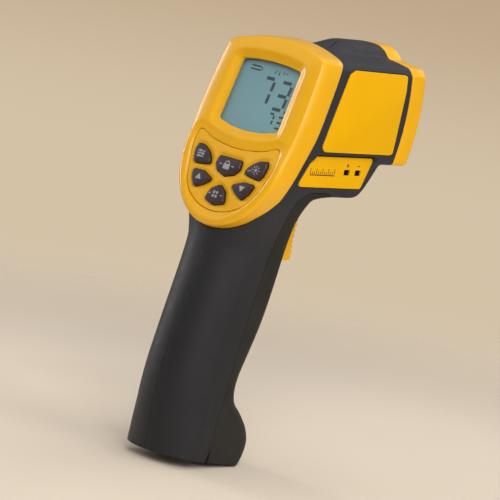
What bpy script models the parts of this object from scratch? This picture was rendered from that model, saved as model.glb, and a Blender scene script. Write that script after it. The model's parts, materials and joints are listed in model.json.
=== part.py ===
"""Pistol-grip infrared thermometer, as the separate pieces it comes apart into.

Frame: +Z up, +Y towards the nose, +X to the user's right; the origin is the bottom centre of the
object's bounding box. Every size below is in millimetres and becomes metres as a mesh is made.
"""

import math

import bmesh
import bpy
from mathutils import Vector

MM = 0.001
GAP = 0.3
WALL = 2.2

# The display face is a plane that leans forward at its top. Points on it are (x, v), v running up it.
FACE_LEAN_DEG = 17.9
FACE_Y = -39.6
FACE_Z = 140.3
BEZEL_DEPTH = 11.5
BEZEL_BULGE = 3.7
BEZEL_CHIN_LOSS = 4.9
BEZEL_TOP_RISE = 5.0
BEZEL_HALF_WIDTH = 30.8
BEZEL_WIDEST = 31.5
BEZEL_TOP = 64.2
BEZEL_CORNER = (29.7, 58.8)
BEZEL_CHIN_CENTRE = 8.0
BEZEL_CHIN_HEIGHT = 37.4
BEZEL_WALL = 2.2
BEZEL_MIDDLE = 12.0
BEZEL_FLOOR = -3.6
BEZEL_FACE = -0.9

HEAD_HALF_WIDTH = 28.0
HEAD_BOTTOM = 148.6
HEAD_TOP = 198.4
HUMP_BASE = 197.6
HUMP_HEIGHT = 5.8
HUMP_SHAPE = ((12.3, 0.0), (10.4, 0.40), (8.2, 0.74), (4.5, 0.95), (0.0, 1.0))
HUMP_RISE = ((-6.0, 0.0), (2.0, 0.08), (8.3, 0.26), (13.4, 0.62), (19.7, 0.86), (27.0, 1.0), (64.0, 1.0))
# Each slit on the hump's rear ramp runs between these two points, on the right of x = 0.
SLIT_ENDS = ((0.9, 22.4, 203.0), (5.4, 10.0, 199.9))

# The nose's front and back edges bow forward: y = peak - bow * ((z - NOSE_MID) / NOSE_HALF) ** 2.
NOSE_MID = 176.0
NOSE_HALF = 27.0
NOSE_FRONT = (60.8, 4.3)
NOSE_BACK = (49.7, 3.8)
NOSE_WALL = 2.6

# Handle and lower block, from the foot up: z, rear y, front y, half width, front corner radius.
HANDLE_STATIONS = (
    (-3.0, -60.5, -13.6, 19.6, 8.0),
    (3.0, -60.6, -9.8, 19.9, 8.5),
    (8.0, -60.6, -7.9, 20.1, 9.0),
    (13.0, -60.7, -7.8, 20.2, 9.0),
    (19.0, -60.8, -10.4, 20.2, 9.0),
    (26.0, -60.9, -16.2, 20.0, 9.0),
    (31.0, -60.8, -21.2, 19.9, 9.0),
    (37.0, -60.4, -22.4, 19.7, 9.0),
    (44.0, -59.6, -21.2, 19.5, 9.0),
    (54.0, -57.8, -17.4, 19.3, 9.0),
    (68.0, -54.8, -12.4, 19.2, 9.0),
    (82.0, -51.4, -9.2, 19.4, 9.0),
    (94.0, -48.4, -7.4, 19.8, 9.0),
    (104.0, -46.2, -6.4, 20.5, 9.0),
    (112.0, -44.8, -6.0, 21.8, 9.0),
    (118.0, -43.8, -5.8, 23.2, 9.0),
    (123.0, -42.9, -4.6, 24.6, 9.0),
    (127.0, -42.1, -3.4, 25.6, 8.0),
    (129.6, -41.6, -1.6, 25.9, 7.0),
    (131.0, -41.3, 2.6, 26.0, 5.0),
    (131.7, -41.2, 10.0, 26.0, 3.0),
    (132.3, -41.0, 26.5, 26.0, 3.0),
    (135.0, -40.0, 30.6, 26.0, 3.0),
    (151.0, -34.0, 42.0, 26.0, 3.0),
)
# How deep the handle's elliptical back is at a height: z, depth.
HANDLE_BACK = ((4.0, 12.5), (26.0, 17.0), (104.0, 17.0), (120.0, 9.0))
HANDLE_ARC_START = 118.0
BASE_SLOPE_DEG = 5.8
BASE_Y = -18.3
BASE_Z = 0.67

# Battery door: its edge on the side of the handle, as (y, z) from the finger rest to the foot.
DOOR_EDGE = (
    (16.0, 129.8),
    (4.2, 133.5),
    (-7.0, 133.6),
    (-12.2, 131.7),
    (-16.4, 129.0),
    (-18.7, 125.0),
    (-20.0, 115.0),
    (-21.5, 106.0),
    (-33.6, 38.0),
    (-37.2, 19.5),
    (-37.7, 7.0),
    (-38.0, -6.0),
)
DOOR_FRONT = ((40.0, -6.0), (40.0, 122.3))
DOOR_HINGE_Y = -33.4
DOOR_HINGE_Z = 5.3
DOOR_NOTCH = ((-37.8, 9.4), (-40.3, 2.9), (-40.4, -6.0), (-30.0, -6.0), (-30.0, 9.4))
HINGE_PIN_RADIUS = 0.9
HINGE_BORE_RADIUS = 1.15
HINGE_KNUCKLE_RADIUS = 2.15
HINGE_LUG = (6.3, 10.3)
HINGE_LUG_RADIUS = 2.0

TRIGGER_PIVOT_Y = -10.4
TRIGGER_PIVOT_Z = 126.0
TRIGGER_HALF_WIDTH = 6.0
TRIGGER_PIN_RADIUS = 1.5
TRIGGER_BORE_RADIUS = 1.75
TRIGGER_SLOT = (94.0, 125.5)
TRIGGER_TEETH = 6

LABEL_THICKNESS = 0.7
LABEL_RECESS = 1.0
BLOCK_HALF_WIDTH = 26.0
SIDE_LABEL = ((5.8, 192.7), (2.1, 190.7), (-8.3, 155.6), (-6.2, 153.5), (44.3, 153.7), (45.0, 165.0),
              (45.5, 177.0), (45.9, 184.0), (45.0, 192.4))
RANGE_LABEL = ((-9.9, 151.0), (-18.9, 136.3), (27.4, 136.4), (33.6, 151.4))
SOCKET_SLOTS = ((15.3, 144.0), (23.4, 144.0))
SOCKET_SLOT_SIZE = (4.3, 2.7)

# Keys on the display face: name, outline and side (-1 mirrors the outline to the left).
SET_OUTLINE = ((21.6, 6.6), (17.6, 5.9), (13.9, 3.6), (11.4, 0.7), (10.7, -1.7), (14.8, -2.5), (20.2, -3.0),
               (21.7, -0.4), (22.3, 3.4))
ARROW_OUTLINE = ((19.4, -5.7), (12.6, -5.7), (5.8, -8.6), (10.1, -11.8), (14.8, -14.1), (17.7, -10.4))
LOCK_OUTLINE = ((7.0, 3.6), (-7.0, 3.6), (-7.5, -0.6), (-5.3, -3.7), (0.0, -5.5), (5.3, -3.7), (7.5, -0.6))
MODE_OUTLINE = ((0.0, -9.7), (-4.3, -12.6), (-6.2, -17.9), (0.0, -19.7), (6.2, -17.9), (4.3, -12.6))
KEYS = (
    ("button_set", SET_OUTLINE, -1),
    ("button_laser", SET_OUTLINE, 1),
    ("button_lock", LOCK_OUTLINE, 1),
    ("button_up", ARROW_OUTLINE, -1),
    ("button_down", ARROW_OUTLINE, 1),
    ("button_mode", MODE_OUTLINE, 1),
)
KEY_TOP = 0.7
KEY_BOTTOM = -4.2
KEY_FLANGE = 0.5
KEYPAD_HALF = ((0.0, 8.5), (9.0, 9.2), (17.0, 10.8), (23.6, 13.2), (25.2, 12.0), (25.4, 5.0), (24.4, 0.0),
               (23.0, -5.0), (21.0, -11.0), (17.3, -16.0), (13.0, -19.0), (7.6, -21.3), (0.0, -22.4))
LCD_HALF = ((0.0, 53.2), (9.5, 52.8), (18.6, 51.5), (19.0, 20.6), (9.5, 18.3), (0.0, 17.6))

# The optics look out along +Y, and the laser sits above them, in the hump.
OPTIC_Z = 172.0
BARREL_RADIUS = 13.0
BARREL_BORE = 11.0
LASER_Z = 196.3
LASER_RADIUS = 3.0
NOSE_PANEL_Y = (50.2, 52.6)

# Casing screws run in from the left half: name, y, z.
SCREWS = (
    ("screw_foot", -52.5, 16.0),
    ("screw_grip", -40.0, 82.0),
    ("screw_neck", -28.6, 110.0),
    ("screw_nose", 39.5, 156.0),
    ("screw_crown", 8.0, 187.5),
)
SCREW_HEAD_RADIUS = 1.9
SCREW_SHANK_RADIUS = 1.1
SCREW_SEAT = 12.0
BOSS_RADIUS = 2.8

BATTERY_SIZE = (26.5, 17.5, 46.5)
BATTERY_CENTRE = (0.0, -36.6, 37.6)
BATTERY_LEAN_DEG = -8.5

YELLOW = ("casing_yellow", (0.83, 0.44, 0.025), 0.42, 0.0)
LABEL_YELLOW = ("label_yellow", (0.79, 0.45, 0.0), 0.5, 0.0)
DARK_GREY = ("casing_grey", (0.05, 0.05, 0.056), 0.55, 0.0)
GRIP_GREY = ("grip_grey", (0.03, 0.028, 0.027), 0.62, 0.0)
KEY_GREY = ("key_rubber", (0.06, 0.045, 0.05), 0.6, 0.0)
BLACK = ("black_plastic", (0.012, 0.012, 0.013), 0.5, 0.0)
CLEAR = ("clear_window", (0.85, 0.9, 0.9), 0.08, 0.0)
LCD_GREY = ("lcd_grey", (0.23, 0.4, 0.4), 0.25, 0.0)
WHITE = ("white_plastic", (0.85, 0.87, 0.85), 0.5, 0.0)
BOARD_GREEN = ("board_green", (0.01, 0.13, 0.05), 0.45, 0.0)
STEEL = ("steel", (0.55, 0.56, 0.58), 0.3, 1.0)
BRASS = ("brass", (0.72, 0.5, 0.2), 0.3, 1.0)
LENS_GREY = ("infrared_lens", (0.2, 0.21, 0.24), 0.15, 0.6)
RUBBER = ("rubber", (0.02, 0.02, 0.02), 0.8, 0.0)
FOAM = ("foam", (0.05, 0.05, 0.05), 0.95, 0.0)
BATTERY_BLUE = ("battery_case", (0.03, 0.09, 0.25), 0.4, 0.2)
WIRE_RED = ("wire_red", (0.5, 0.02, 0.02), 0.5, 0.0)
WIRE_BLACK = ("wire_black", (0.015, 0.015, 0.015), 0.5, 0.0)


def clear_scene():
    for obj in list(bpy.data.objects):
        bpy.data.objects.remove(obj, do_unlink=True)


def finish_of(finish):
    """The Principled material that a (name, colour, roughness, metallic) finish names."""
    name, colour, roughness, metallic = finish
    made = bpy.data.materials.get(name)
    if made is None:
        made = bpy.data.materials.new(name)
        made.use_nodes = True
        shader = made.node_tree.nodes["Principled BSDF"]
        shader.inputs["Base Color"].default_value = (*colour, 1.0)
        shader.inputs["Roughness"].default_value = roughness
        shader.inputs["Metallic"].default_value = metallic
        made.diffuse_color = (*colour, 1.0)
    return made


def add_object(name, mesh, finish, parent=None):
    obj = bpy.data.objects.new(name, mesh)
    bpy.context.scene.collection.objects.link(obj)
    if finish:
        mesh.materials.clear()
        mesh.materials.append(finish_of(finish))
    mesh.shade_smooth()
    mesh.set_sharp_from_angle(angle=math.radians(35))
    obj.parent = parent
    return obj


def add_empty(name, place, turn_deg=0.0):
    """A parent for pieces that share an axis or a plane, turned about x."""
    empty = bpy.data.objects.new(name, None)
    empty.location = Vector(place) * MM
    empty.rotation_euler.x = math.radians(turn_deg)
    bpy.context.scene.collection.objects.link(empty)
    return empty


def loft(name, rings, finish=None, parent=None, joined=False):
    """A closed solid through rings of equal length: capped at both ends, or its ends joined."""
    shape = bmesh.new()
    loops = [[shape.verts.new(Vector(point) * MM) for point in ring] for ring in rings]
    pairs = list(zip(loops, loops[1:]))
    if joined:
        pairs.append((loops[-1], loops[0]))
    else:
        shape.faces.new(loops[0])
        shape.faces.new(loops[-1])
    count = len(rings[0])
    for lower, upper in pairs:
        for i in range(count):
            j = (i + 1) % count
            shape.faces.new((lower[i], lower[j], upper[j], upper[i]))
    bmesh.ops.recalc_face_normals(shape, faces=shape.faces)
    mesh = bpy.data.meshes.new(name)
    shape.to_mesh(mesh)
    shape.free()
    return add_object(name, mesh, finish, parent)


def along_x(a, b, level):
    return (level, a, b)


def along_y(a, b, level):
    return (a, level, b)


def along_z(a, b, level):
    return (a, b, level)


def prism(name, outline, low, high, place, finish=None, parent=None):
    """The outline extruded from low to high along the axis that place names."""
    rings = [[place(a, b, level) for a, b in outline] for level in (low, high)]
    return loft(name, rings, finish, parent)


def turned(name, profile, centre, place, finish=None, parent=None, sides=24):
    """A solid of revolution: profile holds (radius, level) from one end of the axis to the other."""
    rings = [
        [place(a + centre[0], b + centre[1], level) for a, b in circle(radius, sides)]
        for radius, level in profile
    ]
    return loft(name, rings, finish, parent)


def turned_ring(name, profile, centre, place, finish=None, parent=None, sides=24):
    """A ring of revolution: profile is a closed (radius, level) section."""
    rings = [
        [place(a + centre[0], b + centre[1], level) for a, b in circle(radius, sides)]
        for radius, level in profile
    ]
    return loft(name, rings, finish, parent, joined=True)


def circle(radius, sides=24):
    return [
        (radius * math.cos(math.tau * i / sides), radius * math.sin(math.tau * i / sides))
        for i in range(sides)
    ]


def rectangle(low_a, high_a, low_b, high_b):
    return [(low_a, low_b), (high_a, low_b), (high_a, high_b), (low_a, high_b)]


def box(name, low, high, finish=None, parent=None):
    return prism(name, rectangle(low[0], high[0], low[1], high[1]), low[2], high[2], along_z, finish, parent)


def area_of(outline):
    pairs = zip(outline, outline[1:] + outline[:1])
    return sum(a[0] * b[1] - b[0] * a[1] for a, b in pairs) / 2


def inset(outline, distance):
    """A closed outline moved inwards by distance, or outwards when distance is negative."""
    side = 1 if area_of(list(outline)) > 0 else -1
    count = len(outline)
    moved = []
    for i in range(count):
        here = Vector(outline[i])
        before = (here - Vector(outline[i - 1])).normalized()
        after = (Vector(outline[(i + 1) % count]) - here).normalized()
        inward = Vector((-before.y, before.x)) * side
        middle = (inward + Vector((-after.y, after.x)) * side).normalized()
        step = distance / max(0.4, middle.dot(inward))
        moved.append(tuple(here + middle * step))
    return moved


def shrunk(outline, distance):
    """An outline scaled towards the middle of its box, so that each side of the box moves in by distance."""
    moved = [list(point) for point in outline]
    for axis in (0, 1):
        low = min(point[axis] for point in outline)
        high = max(point[axis] for point in outline)
        middle = (low + high) / 2
        share = 1 - 2 * distance / (high - low)
        for point in moved:
            point[axis] = middle + (point[axis] - middle) * share
    return [tuple(point) for point in moved]


def rounded(outline, radius, steps=3):
    """A closed outline with each corner turned into a short arc of about the given radius."""
    count = len(outline)
    points = []
    for i in range(count):
        corner = Vector(outline[i])
        to_last = Vector(outline[i - 1]) - corner
        to_next = Vector(outline[(i + 1) % count]) - corner
        half_turn = (math.pi - to_last.angle(to_next)) / 2
        reach = min(radius * math.tan(half_turn), 0.45 * to_last.length, 0.45 * to_next.length)
        start = corner + to_last.normalized() * reach
        end = corner + to_next.normalized() * reach
        for k in range(steps + 1):
            t = k / steps
            points.append(tuple(start * (1 - t) ** 2 + corner * (2 * t * (1 - t)) + end * t**2))
    return points


def mirrored(half):
    """A closed outline from its right half, whose first and last points lie on x = 0."""
    return list(half) + [(-x, v) for x, v in reversed(half[1:-1])]


def flipped(outline):
    return [(-a, b) for a, b in outline]


def change(target, tool, operation, solver="EXACT"):
    """Adds a Boolean to target. The tool becomes a hidden guide."""
    modifier = target.modifiers.new(tool.name, "BOOLEAN")
    modifier.operation = operation
    modifier.solver = solver
    modifier.object = tool
    tool.hide_render = True
    tool.display_type = "WIRE"


def cut(target, *tools):
    for tool in tools:
        change(target, tool, "DIFFERENCE")


def join(target, *tools):
    for tool in tools:
        change(target, tool, "UNION")


def keep_inside(target, tool):
    change(target, tool, "INTERSECT")


def solid_copy(name, source, finish):
    """A new object that holds source's shape with its modifiers applied."""
    graph = bpy.context.evaluated_depsgraph_get()
    mesh = bpy.data.meshes.new_from_object(source.evaluated_get(graph))
    mesh.name = name
    return add_object(name, mesh, finish)


# Outlines of the casing


def bezel_outline(distance=0.0):
    """The display bezel's edge: a half-ellipse chin, nearly straight sides and a low arched top."""
    chin = []
    for i in range(11):
        angle = math.radians(-90 + 9 * i)
        chin.append((
            BEZEL_HALF_WIDTH * math.cos(angle),
            BEZEL_CHIN_CENTRE + BEZEL_CHIN_HEIGHT * math.sin(angle),
        ))
    corner_x, corner_v = BEZEL_CORNER
    side = [(BEZEL_WIDEST, 27.0), (31.1, 40.0), (30.4, 52.0), (29.9, 56.0)]
    corner = [(29.2, 58.2), (27.4, 59.6)]
    top = [
        (x, BEZEL_TOP - (BEZEL_TOP - corner_v) * (x / corner_x) ** 2) for x in (21.0, 14.0, 7.0, 0.0)
    ]
    return shrunk(mirrored(chin + side + corner + top), distance)


def bezel_depth(v):
    """How far the bezel's side band reaches back: deepest beside the display, least at the chin."""
    if v < -8.0:
        return BEZEL_DEPTH - BEZEL_CHIN_LOSS * min(1.0, (-8.0 - v) / 17.0)
    share = min(1.0, (v + 8.0) / 38.0)
    return BEZEL_DEPTH + BEZEL_BULGE * share * share * (3 - 2 * share)


def bezel_ring(distance, share, extra=0.0):
    """The bezel's edge at a share of its depth, where its top has risen to meet the head."""
    ring = []
    for x, v in bezel_outline(distance):
        rise = BEZEL_TOP_RISE * share * max(0.0, (v - 20.0) / 44.0) ** 2
        ring.append((x, v + rise, -bezel_depth(v) * share - extra))
    return ring


def head_outline(distance=0.0, hump=True):
    """The head's cross-section as (x, z): flat sides, shoulders that fall outwards and the hump."""
    half = [(0.0, HEAD_BOTTOM), (25.6, HEAD_BOTTOM), (27.5, 150.2)]
    half += [(HEAD_HALF_WIDTH, z) for z in (154.0, 163.0, 172.0, 181.0, 190.6)]
    half += [(27.4, 193.6), (25.4, 195.4), (18.5, 196.9)]
    if hump:
        half += [(x, HUMP_BASE + HUMP_HEIGHT * share) for x, share in HUMP_SHAPE]
    else:
        half += [(12.5, 198.0), (0.0, HEAD_TOP)]
    return inset(mirrored(half), distance)


def hump_ring(y, share, distance):
    top = [
        (x * (1 - distance / HUMP_SHAPE[0][0]), HUMP_BASE + HUMP_HEIGHT * share * rise - distance)
        for x, rise in HUMP_SHAPE
    ]
    half = [(0.0, HUMP_BASE - 4.0), (top[0][0], HUMP_BASE - 4.0)] + top
    return [(x, y, z) for x, z in mirrored(half)]


def back_depth(z):
    """The depth of the handle's elliptical back at a height."""
    levels = list(zip(HANDLE_BACK, HANDLE_BACK[1:]))
    for (low, start), (high, end) in levels:
        if z < high:
            share = max(0.0, (z - low) / (high - low))
            return start + (end - start) * share
    return HANDLE_BACK[-1][1]


def handle_ring(station, wall):
    """A horizontal section of the handle: an elliptical back and rounded front corners."""
    z, rear, front, half_width, radius = station
    width = half_width - wall
    rear += wall
    front -= wall
    depth = back_depth(z) - wall
    radius = max(1.0, radius - wall)
    if wall and z > HANDLE_ARC_START:
        z += wall
    ring = []
    for side, start in ((1, 0), (-1, 90)):
        for i in range(5):
            angle = math.radians(start + 22.5 * i)
            ring.append((
                side * (width - radius) + radius * math.cos(angle),
                front - radius + radius * math.sin(angle),
                z,
            ))
    for i in range(13):
        angle = math.radians(15 * i)
        ring.append((-width * math.cos(angle), rear + depth - depth * math.sin(angle), z))
    return ring


def handle_solid(name, wall, finish=None):
    """The handle and lower block as one solid, cut level with its sloping foot."""
    handle = loft(name, [handle_ring(station, wall) for station in HANDLE_STATIONS], finish)
    shape = bmesh.new()
    shape.from_mesh(handle.data)
    slope = math.radians(BASE_SLOPE_DEG)
    foot = bmesh.ops.bisect_plane(
        shape,
        geom=shape.verts[:] + shape.edges[:] + shape.faces[:],
        plane_co=Vector((0.0, BASE_Y, BASE_Z + wall)) * MM,
        plane_no=(0.0, -math.sin(slope), -math.cos(slope)),
        clear_outer=True,
    )
    edges = [item for item in foot["geom_cut"] if isinstance(item, bmesh.types.BMEdge)]
    bmesh.ops.holes_fill(shape, edges=edges)
    bmesh.ops.recalc_face_normals(shape, faces=shape.faces)
    shape.to_mesh(handle.data)
    shape.free()
    return handle


def nose_y(edge, z):
    peak, bow = edge
    return peak - bow * ((z - NOSE_MID) / NOSE_HALF) ** 2


# Casing


def door_outline(distance):
    return inset(list(DOOR_EDGE) + list(DOOR_FRONT), distance)


def casing_skin(name, wall):
    """The casing's whole outside moved inwards by wall, as one solid guide."""
    skin = handle_solid(name, wall)
    head = prism(f"{name}_head", head_outline(wall, hump=False), -42.0, 56.0, along_y)
    stations = HUMP_RISE if wall == 0.0 else ((14.0, 1.0), (56.0, 1.0))
    hump = loft(f"{name}_hump", [hump_ring(y, share, wall) for y, share in stations])
    join(skin, head, hump)
    return skin


def front_cutter():
    """Everything in front of the nose bezel's back edge."""
    heights = [HEAD_BOTTOM - 6 + 7.0 * i for i in range(10)]
    curve = [(nose_y(NOSE_BACK, z) - GAP, z) for z in heights]
    return prism("nose_space", curve + [(70.0, heights[-1]), (70.0, heights[0])], -40, 40, along_x)


def bezel_space():
    """The room the display bezel takes out of the casing."""
    rings = [
        bezel_ring(BEZEL_MIDDLE, 1.0, GAP),
        bezel_ring(-GAP, 1.0, GAP),
        bezel_ring(-GAP, 0.0),
        bezel_ring(-GAP, 0.0, -45.0),
    ]
    return loft("bezel_space", rings, parent=display_plane)


def screw_places(name, radius, low, high, sides=14):
    """One cylinder along x for each casing screw, as a single guide."""
    shape = bmesh.new()
    for _, y, z in SCREWS:
        loops = [
            [shape.verts.new(Vector((x, y + a, z + b)) * MM) for a, b in circle(radius, sides)]
            for x in (low, high)
        ]
        shape.faces.new(loops[0])
        shape.faces.new(loops[1])
        for i in range(sides):
            j = (i + 1) % sides
            shape.faces.new((loops[0][i], loops[0][j], loops[1][j], loops[1][i]))
    bmesh.ops.recalc_face_normals(shape, faces=shape.faces)
    mesh = bpy.data.meshes.new(name)
    shape.to_mesh(mesh)
    shape.free()
    return add_object(name, mesh, None)


def crest_slit(side):
    """A short slanting slit in the hump's rear ramp."""
    top, bottom = (Vector(end) for end in SLIT_ENDS)
    along = (bottom - top).normalized()
    across = along.cross(Vector((0.0, 0.0, 1.0))).normalized() * 0.3
    rings = []
    for end in (top, bottom):
        places = [end + across * a + Vector((0.0, 0.0, b)) for a, b in rectangle(-1, 1, -0.9, 2.0)]
        rings.append([(side * place.x, place.y, place.z) for place in places])
    return loft(f"crest_slit_{side}", rings)


def casing_guide():
    """Both halves of the casing as one hollow guide, open at the display, the nose and the door."""
    casing = casing_skin("casing_guide", 0.0)
    door_space = prism("door_space", door_outline(-GAP / 2), -30, 30, along_x)
    door_notch = prism("door_notch", DOOR_NOTCH, -30, 30, along_x)
    hollow = casing_skin("casing_hollow", WALL)
    cut(casing, hollow, bezel_space(), front_cutter(), door_space, door_notch, crest_slit(-1), crest_slit(1))
    return casing


def hinge_lug(side):
    """A tongue on the casing's foot that holds the door's hinge pin."""
    arc = [(HINGE_LUG_RADIUS * math.cos(a), HINGE_LUG_RADIUS * math.sin(a))
           for a in (math.radians(-90 + 30 * i) for i in range(7))]
    root = [(-10.0, 2.0), (-10.0, -0.9), (-4.6, -1.8)]
    outline = [(DOOR_HINGE_Y + y, DOOR_HINGE_Z + z) for y, z in arc + root]
    low, high = sorted((side * HINGE_LUG[0], side * HINGE_LUG[1]))
    return prism(f"hinge_lug_{side}", outline, low, high, along_x)


def shell(name, side, casing, boss_limit):
    """One half of the casing, with its screw bosses, label recesses and hinge lug."""
    half = solid_copy(name, casing, DARK_GREY)
    near, far = sorted((side * GAP / 2, side * 40.0))
    change(half, box(f"{name}_side", (near, -80, -10), (far, 80, 220)), "INTERSECT", "MANIFOLD")
    reach = sorted((side * GAP / 2, side * 27.0))
    bosses = screw_places(f"{name}_bosses", BOSS_RADIUS, *reach)
    keep_inside(bosses, boss_limit)
    join(half, bosses, hinge_lug(side))
    bore_end = 40.0 if side < 0 else SCREW_SEAT
    bores = screw_places(f"{name}_bores", SCREW_SHANK_RADIUS + GAP, *sorted((-side * 1.0, side * bore_end)))
    pin = turned(f"{name}_pin_bore", [(HINGE_BORE_RADIUS, -16), (HINGE_BORE_RADIUS, 16)],
                 (DOOR_HINGE_Y, DOOR_HINGE_Z), along_x, sides=16)
    recess = sorted((side * (HEAD_HALF_WIDTH - LABEL_RECESS), side * 32.0))
    side_recess = prism(f"{name}_side_recess", inset(side_label_outline(), -GAP), *recess, along_x)
    recess = sorted((side * (BLOCK_HALF_WIDTH - LABEL_RECESS), side * 29.0))
    range_recess = prism(f"{name}_range_recess", inset(range_label_outline(), -GAP), *recess, along_x)
    cut(half, bores, pin, side_recess, range_recess)
    if side < 0:
        heads = screw_places(f"{name}_heads", SCREW_HEAD_RADIUS + GAP, -40.0, -SCREW_SEAT)
        cut(half, heads)
    else:
        slots = [
            prism(f"{name}_slot_{i}", slot_outline(place, -0.25), 20.0, 32.0, along_x)
            for i, place in enumerate(SOCKET_SLOTS)
        ]
        cut(half, *slots)
    return half


def side_label_outline():
    return rounded(SIDE_LABEL, 2.6, 2)


def range_label_outline():
    return rounded(RANGE_LABEL, 1.6, 2)


def slot_outline(place, distance=0.0):
    half_y, half_z = (size / 2 for size in SOCKET_SLOT_SIZE)
    y, z = place
    return inset(rectangle(y - half_y, y + half_y, z - half_z, z + half_z), distance)


def labels():
    for name, side in (("left", -1), ("right", 1)):
        outer = side * HEAD_HALF_WIDTH
        low, high = sorted((outer, outer - side * LABEL_THICKNESS))
        prism(f"side_label_{name}", side_label_outline(), low, high, along_x, LABEL_YELLOW)
        outer = side * BLOCK_HALF_WIDTH
        low, high = sorted((outer, outer - side * LABEL_THICKNESS))
        label = prism(f"range_label_{name}", range_label_outline(), low, high, along_x, LABEL_YELLOW)
        if side > 0:
            for i, place in enumerate(SOCKET_SLOTS):
                cut(label, prism(f"label_slot_{i}", slot_outline(place), 20.0, 30.0, along_x))


def nose_bezel():
    """The yellow frame round the nose: an open ring with rounded front edges."""
    section = (
        (0.0, NOSE_BACK, 0.0),
        (0.0, NOSE_FRONT, -1.4),
        (0.5, NOSE_FRONT, -0.4),
        (1.4, NOSE_FRONT, 0.0),
        (2.3, NOSE_FRONT, -0.4),
        (NOSE_WALL, NOSE_FRONT, -1.4),
        (NOSE_WALL, NOSE_BACK, 0.0),
    )
    rings = [
        [(x, nose_y(edge, z) + shift, z) for x, z in head_outline(distance)]
        for distance, edge, shift in section
    ]
    return loft("nose_bezel", rings, YELLOW, joined=True)


def nose_panel():
    """The dark insert inside the nose bezel, pierced for the optics and the laser."""
    panel = prism("nose_panel", head_outline(NOSE_WALL + GAP), *NOSE_PANEL_Y, along_y, BLACK)
    optic = turned("optic_opening", [(13.6, 48), (13.6, 56)], (0, OPTIC_Z), along_y, sides=32)
    laser = turned("laser_opening", [(2.7, 48), (2.7, 56)], (0, LASER_Z), along_y, sides=16)
    cut(panel, optic, laser)
    return panel


# Display


def bezel():
    """The yellow display bezel: a raised rim, a face with two openings and a deep side band."""
    rings = [
        bezel_ring(BEZEL_MIDDLE, 1.0),
        bezel_ring(0.0, 1.0),
        bezel_ring(0.0, 0.55),
        [(x, v, -1.6) for x, v in bezel_outline(0.0)],
        [(x, v, -0.4) for x, v in bezel_outline(0.6)],
        [(x, v, 0.0) for x, v in bezel_outline(1.8)],
        [(x, v, -0.3) for x, v in bezel_outline(3.0)],
        [(x, v, BEZEL_FACE) for x, v in bezel_outline(4.2)],
    ]
    made = loft("display_bezel", rings, YELLOW, display_plane)
    inside = [
        bezel_ring(BEZEL_MIDDLE, 1.0, 3.0),
        bezel_ring(BEZEL_WALL, 1.0, 3.0),
        [(x, v, BEZEL_FLOOR) for x, v in bezel_outline(BEZEL_WALL)],
    ]
    hollow = loft("bezel_hollow", inside, parent=display_plane)
    opening = rounded(mirrored(LCD_HALF), 1.2, 2)
    dished = loft(
        "lcd_opening",
        [
            [(x, v, -6.0) for x, v in opening],
            [(x, v, -2.6) for x, v in opening],
            [(x, v, 0.5) for x, v in inset(opening, -2.6)],
        ],
        parent=display_plane,
    )
    plate = mirrored(KEYPAD_HALF)
    pocket = prism("keypad_pocket", inset(plate, -GAP), -2.3, 3.0, along_z, parent=display_plane)
    floor = prism("keypad_floor", inset(plate, 1.6), -6.0, -1.5, along_z, parent=display_plane)
    cut(made, hollow, dished, pocket, floor)
    return made


def key_outline(outline, side):
    shape = rounded(outline, 1.5, 3)
    return shape if side > 0 else flipped(shape)


def keypad():
    """The inlaid plate, the six keys that travel through it and the rubber mat behind them."""
    plate = prism("keypad_plate", mirrored(KEYPAD_HALF), -2.0, BEZEL_FACE, along_z, YELLOW, display_plane)
    for name, outline, side in KEYS:
        shape = key_outline(outline, side)
        cut(plate, prism(f"{name}_hole", inset(shape, -GAP), -3.0, 1.0, along_z, parent=display_plane))
        rings = [
            [(x, v, KEY_BOTTOM) for x, v in inset(shape, -KEY_FLANGE)],
            [(x, v, -2.6) for x, v in inset(shape, -KEY_FLANGE)],
            [(x, v, -2.6) for x, v in shape],
            [(x, v, 0.2) for x, v in shape],
            [(x, v, KEY_TOP) for x, v in inset(shape, 0.7)],
        ]
        loft(name, rings, KEY_GREY, display_plane)
    mat = shrunk(mirrored(KEYPAD_HALF), 2.4)
    prism("keypad_mat", mat, -6.4, -5.3, along_z, RUBBER, display_plane)


def display():
    """The stack behind the display opening: window, liquid-crystal cell, diffuser and board."""
    cell = rectangle(-21.5, 21.5, 15.6, 55.2)
    prism("lcd_window", rounded(rectangle(-21.0, 21.0, 15.8, 54.8), 1.5, 2), -5.0, -3.9, along_z, CLEAR,
          display_plane)
    prism("lcd_panel", cell, -7.1, -5.3, along_z, LCD_GREY, display_plane)
    prism("lcd_backlight", inset(cell, -0.6), -9.4, -7.4, along_z, WHITE, display_plane)
    prism("zebra_strip", rectangle(-20.0, 20.0, 13.2, 14.7), -9.4, -5.3, along_z, RUBBER, display_plane)
    prism("display_board", bezel_outline(4.6), -11.2, -9.7, along_z, BOARD_GREEN, display_plane)


# Optics and laser


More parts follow.
